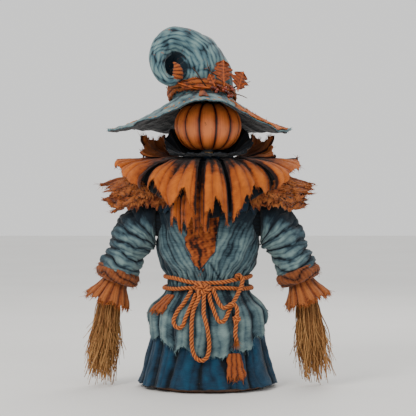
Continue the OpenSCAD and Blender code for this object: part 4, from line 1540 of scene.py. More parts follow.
    def build(self) -> None:
        """Makes all the petals with their frayed ends, and the dark ruff and mantle that stand in for shade."""
        self.lining()
        self.mantle()
        groups = (
            (self.front, "petal_cloth", PETAL, "collar_front_petals"),
            (self.sides, "petal_cloth", PETAL, "collar_side_petals"),
            (self.back, "back_petal_cloth", BACK_PETAL, "collar_back_petals"),
        )
        for petals, slot, finish, node in groups:
            for petal in petals:
                piece, points = self.make(petal)
                place(piece, "figure", finish.material(), [node])
                lay_out(piece)
                ways = points[-1] - points[-5]
                threads = fringe(f"{petal.name}_fray", points[-1], ways, 6.5, THREAD.material(), petal.seed, 0.7)
                place(threads, "figure", THREAD.material())


@dataclass
class Shoulder:
    """A frayed burlap cap that stands out over the top of one sleeve."""

    side: Side
    stations: tuple[tuple[float, float, float, float], ...] = (
        (56, 333, 8, 24), (76, 335, 12, 33), (98, 336, 15, 40), (122, 336, 17, 42), (146, 335, 18, 38), (168, 334, 17, 30),
    )

    def layer(self, name: str, end: float, lift: float, seed: int, span: float) -> tuple[bpy.types.Object, Grid]:
        """One draped layer of the cap.

        Args:
            name: the layer's name.
            end: where it ends along X.
            lift: how far it lies above the layer under it.
            seed: which folds and tears.
            span: how far it goes down each side, in degrees from the top.

        Returns:
            The thickened sheet and its points.
        """
        rows, cols = 58, 112
        s = self.side.value
        u = np.linspace(0, 1, rows)[:, None]
        t = np.linspace(-1, 1, cols)[None, :]
        torn = 0.11 * wander((t + 1) * math.pi, (2, 3, 5, 9, 17, 29), seed) - 0.10 * t**2
        x = 56 + (end - 56) * u * (1 + torn * smooth_step(0.3, 1, u))
        span = span * (1 + 0.07 * wander(u * TAU, (2, 3, 7, 13, 23), seed + 7))
        line = np.array(self.stations)
        z0, high, deep = (np.interp(x, line[:, 0], line[:, k]) for k in (1, 2, 3))
        turned = np.clip(np.abs(span * t), 0, 92)
        hang = np.maximum(np.abs(span * t) - 92, 0) * 0.72
        angle = np.radians(90 + np.sign(t) * turned)
        flat = np.stack([
            s * (x + 0.10 * hang), (deep + lift) * np.cos(angle) - 0.06 * hang * np.sign(t) * -1,
            z0 + (high + lift) * np.sin(angle) - hang - 9 * smooth_step(0.75, 1.05, u) * (1 - 0.4 * t**2),
        ], 2)
        fold = puff(9 * math.pi * (t + 0.06 * swell(flat, 60, seed, 2)) + seed, 0.55)
        fine = puff(23 * math.pi * t + 5 * u + seed, 0.6)
        rise = (0.4 + 0.6 * u) * (4.6 * (fold - 0.5) + 1.5 * (fine - 0.5)) + 1.0 * swell(flat, 22, seed + 1, 2)
        out = np.stack([0 * x + 0 * t, np.cos(angle) + 0 * x, np.sin(angle) + 0 * x], 2)
        points = flat + out * rise[..., None]
        height = np.clip(-0.02 + 0.6 * fold + 0.34 * fine + 0.12 * swell(flat, 14, seed + 2, 2), 0, 1)
        return thicken(surface(name, points, fold=height), 1.4), points

    def build(self) -> None:
        """Makes the layers and their threads."""
        word = self.side.word
        ends = ((168, 0.0, 134), (150, 3.0, 122), (126, 6.0, 108))
        for k, (end, lift, span) in enumerate(ends):
            name = f"{word}_shoulder_cap_{k + 1}"
            piece, points = self.layer(name, end, lift, 130 + 10 * k + self.side.value, span)
            place(piece, "figure", TUFT.material(), ["shoulder_tufts"])
            lay_out(piece)
            ways = points[-1] - points[-5]
            threads = fringe(f"{name}_fray", points[-1], ways, 7, THREAD.material(), 140 + k, 0.9)
            place(threads, "figure", THREAD.material())


# ---------------------------------------------------------------------------
# head
# ---------------------------------------------------------------------------


@dataclass
class Pumpkin:
    """The ribbed head and its stalk."""

    middle: float = 441.0
    radius: float = 56.0
    half_height: float = 45.0
    ribs: int = 12

    def build(self) -> None:
        """Makes the rind and the stalk."""
        cols, rows = 504, 110
        a = (np.arange(cols) * TAU / cols + math.pi / 2)[None, :]
        polar = np.linspace(-math.pi / 2 * 0.985, math.pi / 2 * 0.985, rows)[:, None]
        t = np.sin(polar)
        r = self.radius * np.abs(np.cos(polar)) ** 0.8
        dimple = 7.0 * np.exp(-((np.cos(polar) / 0.32) ** 2))
        warp = 0.018 * np.sin(3 * a + 1) + 0.012 * np.sin(5 * a)
        rib = np.abs(np.cos(self.ribs / 2 * (a + warp)))
        groove = 1 - rib**0.45
        rib_round = rib**0.55
        r = r * (0.915 + 0.095 * rib_round) * (1 + 0.03 * t)
        z = self.middle + self.half_height * t * (0.94 + 0.04 * rib_round) - np.sign(t) * dimple
        flat = np.stack([r * np.cos(a), r * np.sin(a), z + 0 * a], 2)
        flat[..., :2] *= (1 + 0.006 * swell(flat, 40, 71, 2))[..., None]
        # painted shade in the grooves between the ribs
        height = np.clip(0.94 - 1.45 * groove**1.25 + 0.08 * swell(flat, 20, 72, 2), 0, 1)
        rind = settle(surface("pumpkin_rind", flat, wrap=True, caps=(True, True), fold=height))
        place(rind, "head", RIND.material(), ["pumpkin"])
        self.stalk()

    def stalk(self) -> None:
        """The ridged stalk, which the hat covers."""
        cols, rows = 60, 30
        a = (np.arange(cols) * TAU / cols)[None, :]
        t = np.linspace(0, 1, rows)[:, None]
        r = (8.5 - 4.2 * t + 2.2 * t**6) * (1 + 0.13 * np.cos(5 * a + 1.2 * t))
        points = np.stack([r * np.cos(a) + 1.5 * t**2, r * np.sin(a), 474 + 20 * t + 0 * a], 2)
        piece = settle(surface("pumpkin_stalk", points, wrap=True, caps=(True, True), fold=0.5 + 0.4 * np.cos(5 * a) + 0 * t))
        place(piece, "head", STALK.material(), ["pumpkin_stem"])


# ---------------------------------------------------------------------------
# hat
# ---------------------------------------------------------------------------


@dataclass
class Hat:
    """The slouched felt hat with its burlap band, leaves, berries and twigs."""

    at: tuple[float, float, float] = (-8, 5, 481.5)
    tilt: float = math.radians(17)
    inner: float = 52.5
    crown_line: tuple[tuple[float, float, float, float], ...] = (
        (-8, 5, 481.5, 51), (-11, 11.5, 504, 53), (-17, 15, 528, 56), (-26, 14, 552, 51), (-40, 8, 572, 39),
        (-57, -4, 582, 28), (-74, -18, 576, 20), (-84, -30, 557, 15), (-83, -38, 537, 12),
        (-73, -43, 521, 10), (-60, -46, 516, 8.5), (-51, -48, 523, 7.5), (-50, -49, 533, 6.5),
    )

    def build(self) -> None:
        """Makes the crown, the brim and all that is on them."""
        self.crown()
        self.web()
        brim, top = self.brim()
        self.stitches(top)
        self.band()
        self.tip()
        self.leaves()
        self.berries()
        self.twigs()
        self.patches(top)

    def crown(self) -> None:
        """The crown, which leans back and left and curls forward at its point."""
        rows, cols = 200, 180
        line = spline(self.crown_line, rows)
        ahead, one, two = path_axes(line[:, :3])
        start = np.array([0, math.sin(self.tilt), math.cos(self.tilt)])
        blend = np.exp(-(np.arange(rows) / 12.3) ** 2)[:, None]
        ahead = ahead * (1 - blend) + start * blend
        ahead /= np.linalg.norm(ahead, axis=1, keepdims=True)
        back = np.array([0.0, 1, 0])
        one = np.cross(back, ahead)
        one /= np.linalg.norm(one, axis=1, keepdims=True)
        two = np.cross(ahead, one)
        a = (np.arange(cols) * TAU / cols)[None, :]
        r = line[:, 3][:, None]
        ring = one[:, None] * np.cos(a)[..., None] + two[:, None] * np.sin(a)[..., None]
        flat = line[:, None, :3] + ring * r[..., None]
        s = np.linspace(0, 1, rows)[:, None]
        run = np.concatenate([[0], np.cumsum(np.linalg.norm(np.diff(line[:, :3], axis=0), axis=1))])[:, None]
        slant = 0.55 * np.sin(a + 0.6) + 0.35 * np.sin(2 * a + 2.0)
        rings_ = puff(TAU * (run / 43.0) + 4.4 * slant + 1.9 * swell(flat, 90, 31, 2), 0.6)
        fine = puff(9 * a + 5.5 * swell(flat, 75, 32, 2) + 0.05 * run, 0.6)
        firm = smooth_step(0.08, 0.3, s)
        rise = r * (0.008 + 0.055 * firm) * (rings_ - 0.72) + r * 0.018 * firm * (fine - 0.6)
        rise += 0.045 * r * swell(flat, 75, 33, 2) * smooth_step(0.02, 0.15, s)
        points = flat + ring * rise[..., None]
        cave = np.hypot(points[..., 0] + 59, points[..., 2] - 537)
        turn = np.arctan2(points[..., 2] - 537, points[..., 0] + 59)
        streak = puff(TAU * cave / 7.5 + turn + 2.6 * swell(flat, 60, 36, 2) + 1.2 * swell(flat, 24, 37, 2), 0.6)
        shadow = np.exp(-((cave / 23) ** 4)) * smooth_step(-44, -30, points[..., 1])
        height = np.clip(-0.08 + 0.34 * rings_ + 0.16 * fine + 0.44 * streak + 0.14 * swell(flat, 25, 34, 2) - 1.0 * shadow, 0, 1)
        piece = settle(surface("hat_crown_felt", points, wrap=True, caps=(False, True), fold=height))
        thicken(piece, 2.2, -1)
        place(piece, "hat", HAT_FELT.material(), ["hat_crown"])

    def web(self) -> None:
        """The fold of felt that closes the curl from behind, painted dark as the shade inside the hollow."""
        rows, cols = 40, 120
        a = (np.arange(cols) * TAU / cols)[None, :]
        u = np.linspace(0, 1, rows)[:, None]
        flat = np.stack([
            -58 + 27 * u * np.cos(a), -24 + 15 * (1 - u**2) + 0 * a, 540 + 27 * u * np.sin(a),
        ], 2)
        swirl = puff(7 * (a + 1.6 * u) + 0.5, 0.6)
        points = flat + np.array([0, -1.0, 0]) * (2.4 * u * (swirl - 0.6))[..., None]
        # painted shade: "fold" stays low, so the web shows as the dark hollow
        cloth = thicken(surface("hat_curl_web", points[1:], wrap=True, caps=(True, False), fold=0.05 + 0.22 * (swirl * u)[1:]), 1.6)
        place(cloth, "hat", HAT_FELT.material())
        lay_out(cloth)

    def brim_points(self, a: np.ndarray, u: np.ndarray) -> Grid:
        """The brim's middle surface: a is the angle and u runs from the crown to the edge."""
        r = self.inner
        c, s = np.cos(a), np.sin(a)
        p = np.stack([
            self.at[0] + r * c, self.at[1] + r * s * math.cos(self.tilt), self.at[2] - r * s * math.sin(self.tilt),
        ], -1)
        wide = np.where(c > 0, 141.0, 169.0)
        deep = np.where(s > 0, 132.0, 118.0)
        q = np.stack([
            wide * c, deep * s, 433 + 2 * np.maximum(0, -c) + 46 * np.maximum(0, -s) ** 5,
        ], -1)
        fall = 1 - np.sign(1 - u) * np.abs(1 - u) ** 1.35
        level = p[..., 2] + (q[..., 2] - p[..., 2]) * fall
        return np.stack([p[..., 0] + (q[..., 0] - p[..., 0]) * u, p[..., 1] + (q[..., 1] - p[..., 1]) * u, level], -1)

    def brim(self) -> tuple[bpy.types.Object, Grid]:
        """The wide brim, with painted shade underneath and a wavy ragged edge.

        Returns:
            The piece and the points of its top.
        """
        rows, cols = 66, 480
        a = (np.arange(cols) * TAU / cols)[None, :] + np.zeros((rows, 1))
        u = np.linspace(0, 1, rows)[:, None] + np.zeros((1, cols))
        toward_edge = 1 + (0.010 * wander(a, (17, 31, 57, 83, 121), 81) + 0.012 * wander(a, (5, 9), 82)) * u**3
        flat = self.brim_points(a, u * toward_edge)
        waves = 3.4 * wander(a, (3, 5, 8), 83) * u**1.6 + 1.4 * wander(a, (13, 21), 84) * u**2.2
        rings_ = puff(17 * (a + 0.12 * wander(a, (3, 4, 7), 85)) + 1.6 * u + 1.3 * swell(flat, 60, 86, 2), 0.6)
        rise = waves + 1.9 * (rings_ - 0.6) * smooth_step(0.05, 0.5, u) + 0.7 * swell(flat, 22, 87, 2)
        rise = rise * smooth_step(0.0, 0.12, u) + 1.3
        top = flat + np.stack([0 * rise, 0 * rise, rise], 2)
        rim = smooth_step(0.93, 1.0, u)
        under = top - np.stack([0 * rise, 0 * rise, 2.9 - 0.8 * rim], 2)
        # painted shade near the crown's foot; the rim is lighter
        height = np.clip(0.42 + 0.36 * rings_ + 0.14 * swell(flat, 20, 88, 2) + 0.2 * rim - 0.4 * (1 - smooth_step(0, 0.14, u)), 0, 1)
        both = np.concatenate([top, under[::-1]])
        # painted shade on the under face: its "fold" is lowered and its "side" is raised, less so at the rim
        fold = np.concatenate([height, 0.3 * height[::-1]])
        side = np.concatenate([0 * height, 1 - 0.9 * rim[::-1]])
        piece = settle(surface("hat_brim_felt", both, wrap=True, ring=True, fold=fold, side=side))
        place(piece, "hat", HAT_FELT.material(), ["hat_brim"])
        edge = top[-1]
        ways = edge - top[-5]
        threads = fringe("brim_fray", edge, ways, 4.5, BLUE_THREAD.material(), 89, 0.5, 0.55)
        place(threads, "hat", BLUE_THREAD.material())
        return piece, top

    def stitches(self, top: Grid) -> None:
        """Coarse orange stitches round the brim and in short repair rows."""
        rng = np.random.default_rng(5)
        rows, cols = top.shape[:2]
        spots, aims, ups = [], [], []
        normal = normals_of(top, True)
        normal *= np.sign(normal[..., 2:])

        def sew(i: float, j: float, way: np.ndarray) -> None:
            """Adds one stitch at a place on the brim."""
            i, j = int(np.clip(i, 0, rows - 1)), int(j) % cols
            spots.append(top[i, j] + normal[i, j] * 0.5 - way * 2.3)
            aims.append(way)
            ups.append(normal[i, j])

        seam = round(0.93 * rows)
        for j in range(0, cols, cols // 80):
            if rng.uniform() > 0.25:
                way = top[seam, (j + 3) % cols] - top[seam, j]
                sew(seam, j, way / np.linalg.norm(way))
        for _ in range(26):
            i0, j0 = rng.uniform(0.13, 0.78) * rows, rng.uniform(0, cols)
            di, dj = rng.uniform(-2.2, 2.2), rng.uniform(-6, 6)
            for k in range(rng.integers(3, 7)):
                i, j = i0 + k * di, j0 + k * dj
                a, b = int(np.clip(i, 0, rows - 2)), int(j) % cols
                way = top[a + 1, b] - top[a, b]
                sew(i, j, way / np.linalg.norm(way))
        sizes = np.tile([1.1, 0.9, 4.8], (len(spots), 1))
        made = SCATTER.over(
            "brim_stitches", np.array(spots), np.array(aims), sizes, blade(0.0, 6, 3, 0.7), STITCH.material(),
            across=np.array(ups), turn=0.1, seed=5,
        )
        place(made, "hat", STITCH.material())

    def band(self) -> None:
        """A torn strip of burlap wound round the foot of the crown."""
        cols, rows = 320, 36
        a = (np.arange(cols) * TAU / cols)[None, :]
        t = np.linspace(0, 1, rows)[:, None]
        up = np.array([0, math.sin(self.tilt), math.cos(self.tilt)])
        across = np.array([0, math.cos(self.tilt), -math.sin(self.tilt)])
        h = 5 + 19 * t + 1.8 * wander(a, (3, 7, 13, 29), 91) * (2 * t - 1) + 1.2 * wander(a, (2, 5), 92)
        flat_r = 55.6 + 1.4 * np.sin(math.pi * t)
        seed_points = np.stack([np.cos(a) + 0 * t, np.sin(a) + 0 * t, 0.4 * t + 0 * a], 2) * 57
        roll = puff(TAU * 2.3 * t + 2.6 * np.sin(2 * a) + 1.8 * swell(seed_points, 60, 93, 2), 0.6)
        r = flat_r + 2.6 * (roll - 0.35) + 0.5 * swell(seed_points, 14, 94, 2)
        centre = np.array(self.at) + h[..., None] * up + np.stack([-0.18 * h, 0 * h, 0 * h], 2)
        points = centre + r[..., None] * (
            np.cos(a)[..., None] * np.array([1.0, 0, 0]) + np.sin(a)[..., None] * across
        )
        cloth = thicken(surface("hat_band_burlap", points, wrap=True, fold=np.clip(0.1 + 0.85 * roll, 0, 1)), 1.2)
        place(cloth, "hat", RAG.material(), ["hat_band"])
        lay_out(cloth)
        for k, row in enumerate((0, rows - 1)):
            ways = points[row] - points[3 if row == 0 else -4]
            threads = fringe(f"hat_band_fray_{k + 1}", points[row], ways, 4.5, THREAD.material(), 95 + k, 0.6)
            place(threads, "hat", THREAD.material())

    def tip(self) -> None:
        """The brown bound end of the crown's point."""
        line = spline([
            (-51, -48, 520, 8.6), (-50, -49, 527, 9.0), (-50.5, -49.5, 534, 8.2), (-52, -50, 540, 6), (-55, -50.5, 544.5, 3),
            (-58, -51, 547, 1.2),
        ], 60)
        _, one, two = path_axes(line[:, :3])
        a = (np.arange(48) * TAU / 48)[None, :]
        t = np.linspace(0, 1, 60)[:, None]
        wound = puff(TAU * 5 * t + a, 0.6)
        r = line[:, 3][:, None] * (0.86 + 0.16 * wound)
        points = line[:, None, :3] + one[:, None] * (r * np.cos(a))[..., None] + two[:, None] * (r * np.sin(a))[..., None]
        piece = settle(surface("hat_tip_binding", points, wrap=True, caps=(True, True), fold=0.1 + 0.8 * wound))
        place(piece, "hat", RAG.material(), ["hat_tip"])

    def leaf(
        self, name: str, at: Sequence[float], size: float, back: float, lean: float, yaw: float, lobes: int, width: float
    ) -> bpy.types.Object:
        """A dry lobed leaf with a raised rib, curled at its sides.

        Args:
            name: the leaf's name.
            at: where its stalk starts.
            size: its length.
            back: how far it leans away, in degrees.
            lean: how far it turns in its own plane, in degrees.
            yaw: how far it turns about the vertical, in degrees.
            lobes: lobes on each side.
            width: its half width against its length.

        Returns:
            The thickened leaf.
        """
        rows, cols = 90, 41
        t = np.linspace(0, 1, rows)[:, None]
        v = np.linspace(-1, 1, cols)[None, :]
        body = np.clip((t - 0.14) / 0.86, 0, 1)
        lobe = 0.42 + 0.58 * np.abs(np.sin(math.pi * (lobes * body + 0.08))) ** 0.7
        half = width * size * np.sin(math.pi * np.clip(body * 0.93 + 0.05, 0, 1)) ** 0.75 * lobe
        half = np.where(t < 0.14, 0.022 * size, half + 0.022 * size)
        x = v * half
        y = size * (t + 0.13 * np.abs(v) ** 1.3 * np.where(t < 0.14, 0, 1) * (1 - t))
        rib = np.exp(-((v * half / (0.012 * size)) ** 2))
        vein = np.abs(np.sin(math.pi * (lobes * 2 * (t - 0.35 * np.abs(v) * half / size))))
        z = 0.028 * size * rib - 0.10 * size * np.abs(v) ** 2 * np.sin(3 * t) + 0.07 * size * t**2 * np.sin(5 * v + 2 * t)
        local = np.stack([x, y, z + 0 * x], 2)
        b, l, w = (math.radians(k) for k in (90 - back, lean, yaw))
        turn_l = np.array([[math.cos(l), -math.sin(l), 0], [math.sin(l), math.cos(l), 0], [0, 0, 1]])
        turn_b = np.array([[1, 0, 0], [0, math.cos(b), -math.sin(b)], [0, math.sin(b), math.cos(b)]])
        turn_w = np.array([[math.cos(w), -math.sin(w), 0], [math.sin(w), math.cos(w), 0], [0, 0, 1]])
        points = local @ (turn_w @ turn_b @ turn_l).T + np.array(at)
        height = np.clip(0.45 + 0.5 * rib + 0.3 * (vein - 0.6) + 0 * x, 0, 1)
        return thicken(surface(name, points, fold=height), 0.7)

    def leaves(self) -> None:
        """The two lobed leaves and the narrow blades."""
        made = [
            self.leaf("leaf_a", (27, -39, 508), 46, 18, -4, 20, 4, 0.40),
            self.leaf("leaf_b", (50, -28, 499), 38, 10, -24, 38, 3, 0.50),
            self.leaf("leaf_c", (-18, -53, 502), 34, 0, 72, -4, 1, 0.16),
            self.leaf("leaf_d", (4, -55.5, 504), 30, 0, 84, 0, 1, 0.15),
            self.leaf("leaf_e", (12, -51, 506), 24, 8, 24, 0, 2, 0.3),
            self.leaf("leaf_f", (46, -27, 502), 24, 5, -60, 30, 1, 0.2),
        ]
        place(joined("hat_leaf_spray", made), "hat", LEAF.material(), ["hat_leaves"])

    def berries(self) -> None:
        """Small dark beads on the band."""
        rng = np.random.default_rng(17)
        spots = [(8, -50, 505), (14, -48, 499), (20, -46, 507), (26, -42, 501), (33, -36, 497), (40, -29, 502)]
        near = [np.array(s) + rng.normal(scale=(2.2, 1.0, 2.6), size=3) + (1.5, -1.5, 0) for s in spots for _ in range(2)]
        every = np.array([*spots, *near], float)
        made = SCATTER.over(
            "hat_berry_beads", every, np.tile([0.1, -0.5, 1.0], (len(every), 1)), np.full((len(every), 3), 5.8),
            bead(14), BERRY.material(), spread=0.22, seed=17,
        )
        place(made, "hat", BERRY.material(), ["hat_berries"])

    def twigs(self) -> None:
        """Thin bent twigs with side shoots, and long stems that lie on the brim."""
        rng = np.random.default_rng(19)
        stems = [
            ((-4, -49, 508), (-26, -46, 540)), ((9, -47, 512), (-2, -42, 551)), ((42, -16, 506), (72, 0, 518)),
            ((-30, -47, 507), (-66, -49.5, 504)), ((-6, -50, 506), (-44, -50, 514)), ((38, -30, 500), (66, -34, 488)),
        ]
        made = []
        for a, b in stems:
            a, b = np.array(a, float), np.array(b, float)
            bow = rng.normal(scale=2.0, size=3)
            line = spline([a, a + (b - a) * 0.35 + bow, a + (b - a) * 0.7 - bow * 0.4, b], 24)
            made.append(self.stem(line, 1.25, rng))
            for k in (9, 15):
                way = (b - a) / np.linalg.norm(b - a) + rng.normal(scale=0.6, size=3)
                tip = line[k] + way / np.linalg.norm(way) * rng.uniform(7, 12)
                made.append(self.stem(spline([line[k], (line[k] + tip) / 2 + rng.normal(scale=0.7, size=3), tip], 10), 0.75, rng))
        place(joined("hat_twig_spray", made), "hat", TWIG.material(), ["hat_twigs"])

    def stem(self, line: np.ndarray, thick: float, rng: np.random.Generator) -> bpy.types.Object:
        """One knobbly twig along a line."""
        _, one, two = path_axes(line)
        a = (np.arange(9) * TAU / 9)[None, :]
        t = np.linspace(0, 1, len(line))[:, None]
        r = thick * (1 - 0.65 * t) * (1 + 0.16 * rng.normal(size=(len(line), 1)))
        points = line[:, None] + one[:, None] * (r * np.cos(a))[..., None] + two[:, None] * (r * np.sin(a))[..., None]
        return settle(surface("stem", points, wrap=True, caps=(True, True), fold=0.3 + 0.5 * t + 0 * a))

    def patches(self, top: Grid) -> None:
        """The torn flap along the right of the brim and a small patch at its front."""
        rows, cols = top.shape[:2]
        for name, span, depth, seed in (("brim_flap", (296, 344), (0.30, 0.99), 201), ("brim_patch", (264, 273), (0.02, 0.5), 202)):
            na, nu = 150, 40
            a = np.radians(np.linspace(span[0], span[1], na))[None, :]
            t = np.linspace(0, 1, nu)[:, None]
            swing = np.linspace(0, 1, na)[None, :]
            narrow = 0.16 + 0.84 * np.sin(math.pi * np.clip(0.12 + 0.8 * swing, 0, 1)) if seed == 201 else 1.0
            u = depth[1] - (depth[1] - depth[0]) * (1 - t) * narrow * (1 + 0.16 * wander(a * 9, (1, 2, 5, 9), seed))
            i = np.clip(u, 0, 1) * (rows - 1)
            j = (a / TAU * cols) % cols + 0 * u
            i0, j0 = np.floor(i).astype(int), np.floor(j).astype(int)
            i1, j1 = np.minimum(i0 + 1, rows - 1), (j0 + 1) % cols
            fi, fj = (i - i0)[..., None], (j - j0)[..., None]
            base = (
                (top[i0, j0 % cols] * (1 - fj) + top[i0, j1] * fj) * (1 - fi)
                + (top[i1, j0 % cols] * (1 - fj) + top[i1, j1] * fj) * fi
            )
            fold = puff(26 * a + 3 * t + seed, 0.6)
            points = base + np.array([0, -0.3, 1.0]) * (1.3 + 1.5 * fold + 0.4 * swell(base, 12, seed, 2))[..., None]
            cloth = thicken(surface(name, points, fold=np.clip(0.2 + 0.75 * fold, 0, 1)), 1.1)
            place(cloth, "hat", PETAL.material() if seed == 201 else RAG.material())
            lay_out(cloth)
            ways = points[0] - points[4]
            threads = fringe(f"{name}_fray", points[0], ways, 5, THREAD.material(), seed, 0.9)
            place(threads, "hat", THREAD.material())


# ---------------------------------------------------------------------------
# arms
# ---------------------------------------------------------------------------


@dataclass
class Arm:
    """One arm: a puffed sleeve over the elbow, a rolled cuff, a frayed ruffle and a straw hand."""

    side: Side
    elbow: tuple[float, float, float] = (139, 0, 228)
    wrist: tuple[float, float, float] = (168, 0, 152)
    hand_end: tuple[float, float, float] = (183, 0, 24)
    line: tuple[tuple[float, float, float, float], ...] = (
        (89, 0, 279, 25), (93, 0, 279, 31), (101, 0, 277, 35), (112, 0, 271, 37.5), (123, 0, 259, 38), (132, 0, 244, 35.5),
        (138, 0, 230, 31), (144, 0, 216, 33), (150, 0, 204, 34), (155, 0, 192, 29), (158, 0, 184, 23),
    )

    def mirrored(self, points: np.ndarray) -> np.ndarray:
        """Points drawn for the right arm, put on this arm's side."""
        return points * np.array([self.side.value, 1, 1])

    def build(self) -> None:
        """Makes the sleeve, the cuffs and the hand."""
        self.sleeve()
        self.cuff_roll()
        self.ruffle()
        self.hand()

    def tube(self, line: np.ndarray, cols: int) -> tuple[np.ndarray, np.ndarray, np.ndarray, np.ndarray]:
        """The ring directions, angles and length run of a limb's line."""
        ahead, _, _ = path_axes(line[:, :3])
        back = np.array([0.0, 1, 0])
        one = np.cross(back, ahead)
        one /= np.linalg.norm(one, axis=1, keepdims=True)
        two = np.cross(ahead, one)
        a = (np.arange(cols) * TAU / cols)[None, :]
        ring = one[:, None] * np.cos(a)[..., None] + two[:, None] * np.sin(a)[..., None]
        run = np.concatenate([[0], np.cumsum(np.linalg.norm(np.diff(line[:, :3], axis=0), axis=1))])[:, None]
        return ring, a, run, ahead

    def sleeve(self) -> None:
        """The padded sleeve, one cloth from the shoulder to the cuff."""
        seed = 150 + 20 * self.side.value
        line = spline(self.line, 160)
        ring, a, run, _ = self.tube(line, 200)
        r = line[:, 3][:, None]
        flat = line[:, None, :3] + ring * r[..., None]
        slant = 0.9 * np.sin(a + 0.8) + 0.5 * np.sin(2 * a + 0.4 * self.side.value)
        main = puff(TAU * run / 19 + 1.5 * slant + 1.9 * swell(flat, 70, seed, 2), 0.55)
        fine = puff(TAU * run / 8.6 + 2.2 * slant + 2.6 * swell(flat, 40, seed + 1, 2), 0.6)
        share = smooth_step(6, 26, run) * smooth_step(0, 12, run[-1] - run)
        rise = share * (6.0 * (main - 0.72) + 2.0 * (fine - 0.7)) + 1.6 * swell(flat, 30, seed + 2, 2) * share
        points = flat + ring * rise[..., None]
        height = np.clip(-0.16 + 0.74 * main + 0.34 * fine + 0.12 * swell(flat, 16, seed + 3, 2), 0, 1)
        # painted shade: darker towards the shoulder caps and on the side where cos(a) is below 0
        height *= (1 - 0.8 * smooth_step(262, 300, flat[..., 2])) * (1 - 0.5 * smooth_step(0.2, 0.9, -np.cos(a)))
        name = f"{self.side.word}_sleeve"
        points = self.mirrored(points)
        piece = settle(surface(name, points, wrap=True, caps=(True, True), fold=height))
        place(piece, None, SLEEVE.material(),
              [f"{self.side.word}_upper_sleeve", f"{self.side.word}_lower_sleeve"])
        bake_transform(piece)

    def along_forearm(self, profile: Sequence[Sequence[float]], rows: int, cols: int) -> tuple[Grid, np.ndarray, np.ndarray, Grid]:
        """Points of a turned shape on the forearm's line.

        Args:
            profile: (distance from the elbow, radius) pairs.
            rows: rows along it.
            cols: columns round it.

        Returns:
            The points, the ring directions, the angles and each row's share of the profile.
        """
        e, w = np.array(self.elbow, float), np.array(self.wrist, float)
        way = (w - e) / np.linalg.norm(w - e)
        curve = spline([(s, r, 0) for s, r in profile], rows)
        centre = e + curve[:, :1] * way
        one = np.cross(np.array([0.0, 1, 0]), way)
        two = np.cross(way, one)
        a = (np.arange(cols) * TAU / cols)[None, :]
        ring = (one * np.cos(a)[..., None] + two * np.sin(a)[..., None]) + np.zeros((rows, 1, 1))
        points = centre[:, None] + ring * curve[:, 1][:, None, None]
        return points, ring, a, np.linspace(0, 1, rows)[:, None] + 0 * a

    def cuff_roll(self) -> None:
        """A rolled band of rags above the ruffle."""
        seed = 170 + self.side.value
        flat, ring, a, t = self.along_forearm(
            ((30, 24), (28.8, 29), (31, 34), (36, 36.6), (41, 37), (46, 36.4), (51, 33), (53.4, 28), (52, 24)), 72, 208
        )
        main = puff(TAU * 2.6 * t + 2.4 * np.sin(2 * a + seed) + 2.0 * swell(flat, 45, seed, 2), 0.55)
        fine = puff(31 * (a + 0.3 * t) + 2 * swell(flat, 30, seed + 1, 2), 0.6)
        rise = 3.4 * (main - 0.7) + 1.3 * (fine - 0.7) + 0.9 * swell(flat, 16, seed + 2, 2)
        points = self.mirrored(flat + ring * rise[..., None])
        height = np.clip(-0.05 + 0.7 * main + 0.3 * fine, 0, 1)
        name = f"{self.side.word}_cuff_rags"
        piece = settle(surface(name, points, wrap=True, ring=True, fold=height))
        place(piece, f"{self.side.word}_forearm", CUFF.material(), [f"{self.side.word}_cuff_roll"])
        rng = np.random.default_rng(seed)
        count = 150
        i, j = rng.integers(12, 60, count), rng.integers(0, 208, count)
        way = self.mirrored(np.array([0.3, 0, -1.0])) + 0.6 * self.mirrored(ring[i, j]) + rng.normal(scale=0.4, size=(count, 3))
        sizes = np.stack([np.full(count, 0.8), np.full(count, 0.8), rng.uniform(3, 9, count)], 1)
        fluff = SCATTER.over(f"{name}_fray", points[i, j] - way * 0.3, way, sizes, blade(2.0, 3, 3), THREAD.material(), seed=seed)
        place(fluff, f"{self.side.word}_forearm", THREAD.material())

    def ruffle(self) -> None:
        """The flared frayed ruffle under the roll."""
        seed = 180 + self.side.value
        flat, ring, a, t = self.along_forearm(((49, 20), (55, 21.5), (64, 25), (72, 29), (80, 33), (88, 36.5)), 48, 280)
        way = (np.array(self.wrist, float) - np.array(self.elbow)) / 81.34
        torn = 4.5 * t**4 * (wander(a, (6, 11, 19, 37, 61), seed) - 0.1)
        main = puff(13 * (a + 0.07 * wander(a, (2, 3, 5), seed + 1)) + 0.8 * t, 0.6)
        fine = puff(37 * (a + 0.05 * wander(a, (3, 7), seed + 2)), 0.6)
        rise = smooth_step(0.05, 0.8, t) * (5.4 * (main - 0.62) + 1.3 * (fine - 0.6)) + 0.5 * swell(flat, 18, seed, 2)
        points = self.mirrored(flat + ring * rise[..., None] + way * torn[..., None])
        height = np.clip(-0.12 + 0.72 * main + 0.3 * fine + 0.2 * t, 0, 1)
        name = f"{self.side.word}_ruffle"
        cloth = thicken(surface(name, points, wrap=True, fold=height), 1.4)
        place(cloth, f"{self.side.word}_forearm", TUFT.material(), [f"{self.side.word}_cuff_ruffle"])
        lay_out(cloth)
        ways = points[-1] - points[-6]
        threads = fringe(f"{name}_fray", points[-1], ways, 8, THREAD.material(), seed, 1.0)
        place(threads, f"{self.side.word}_forearm", THREAD.material())

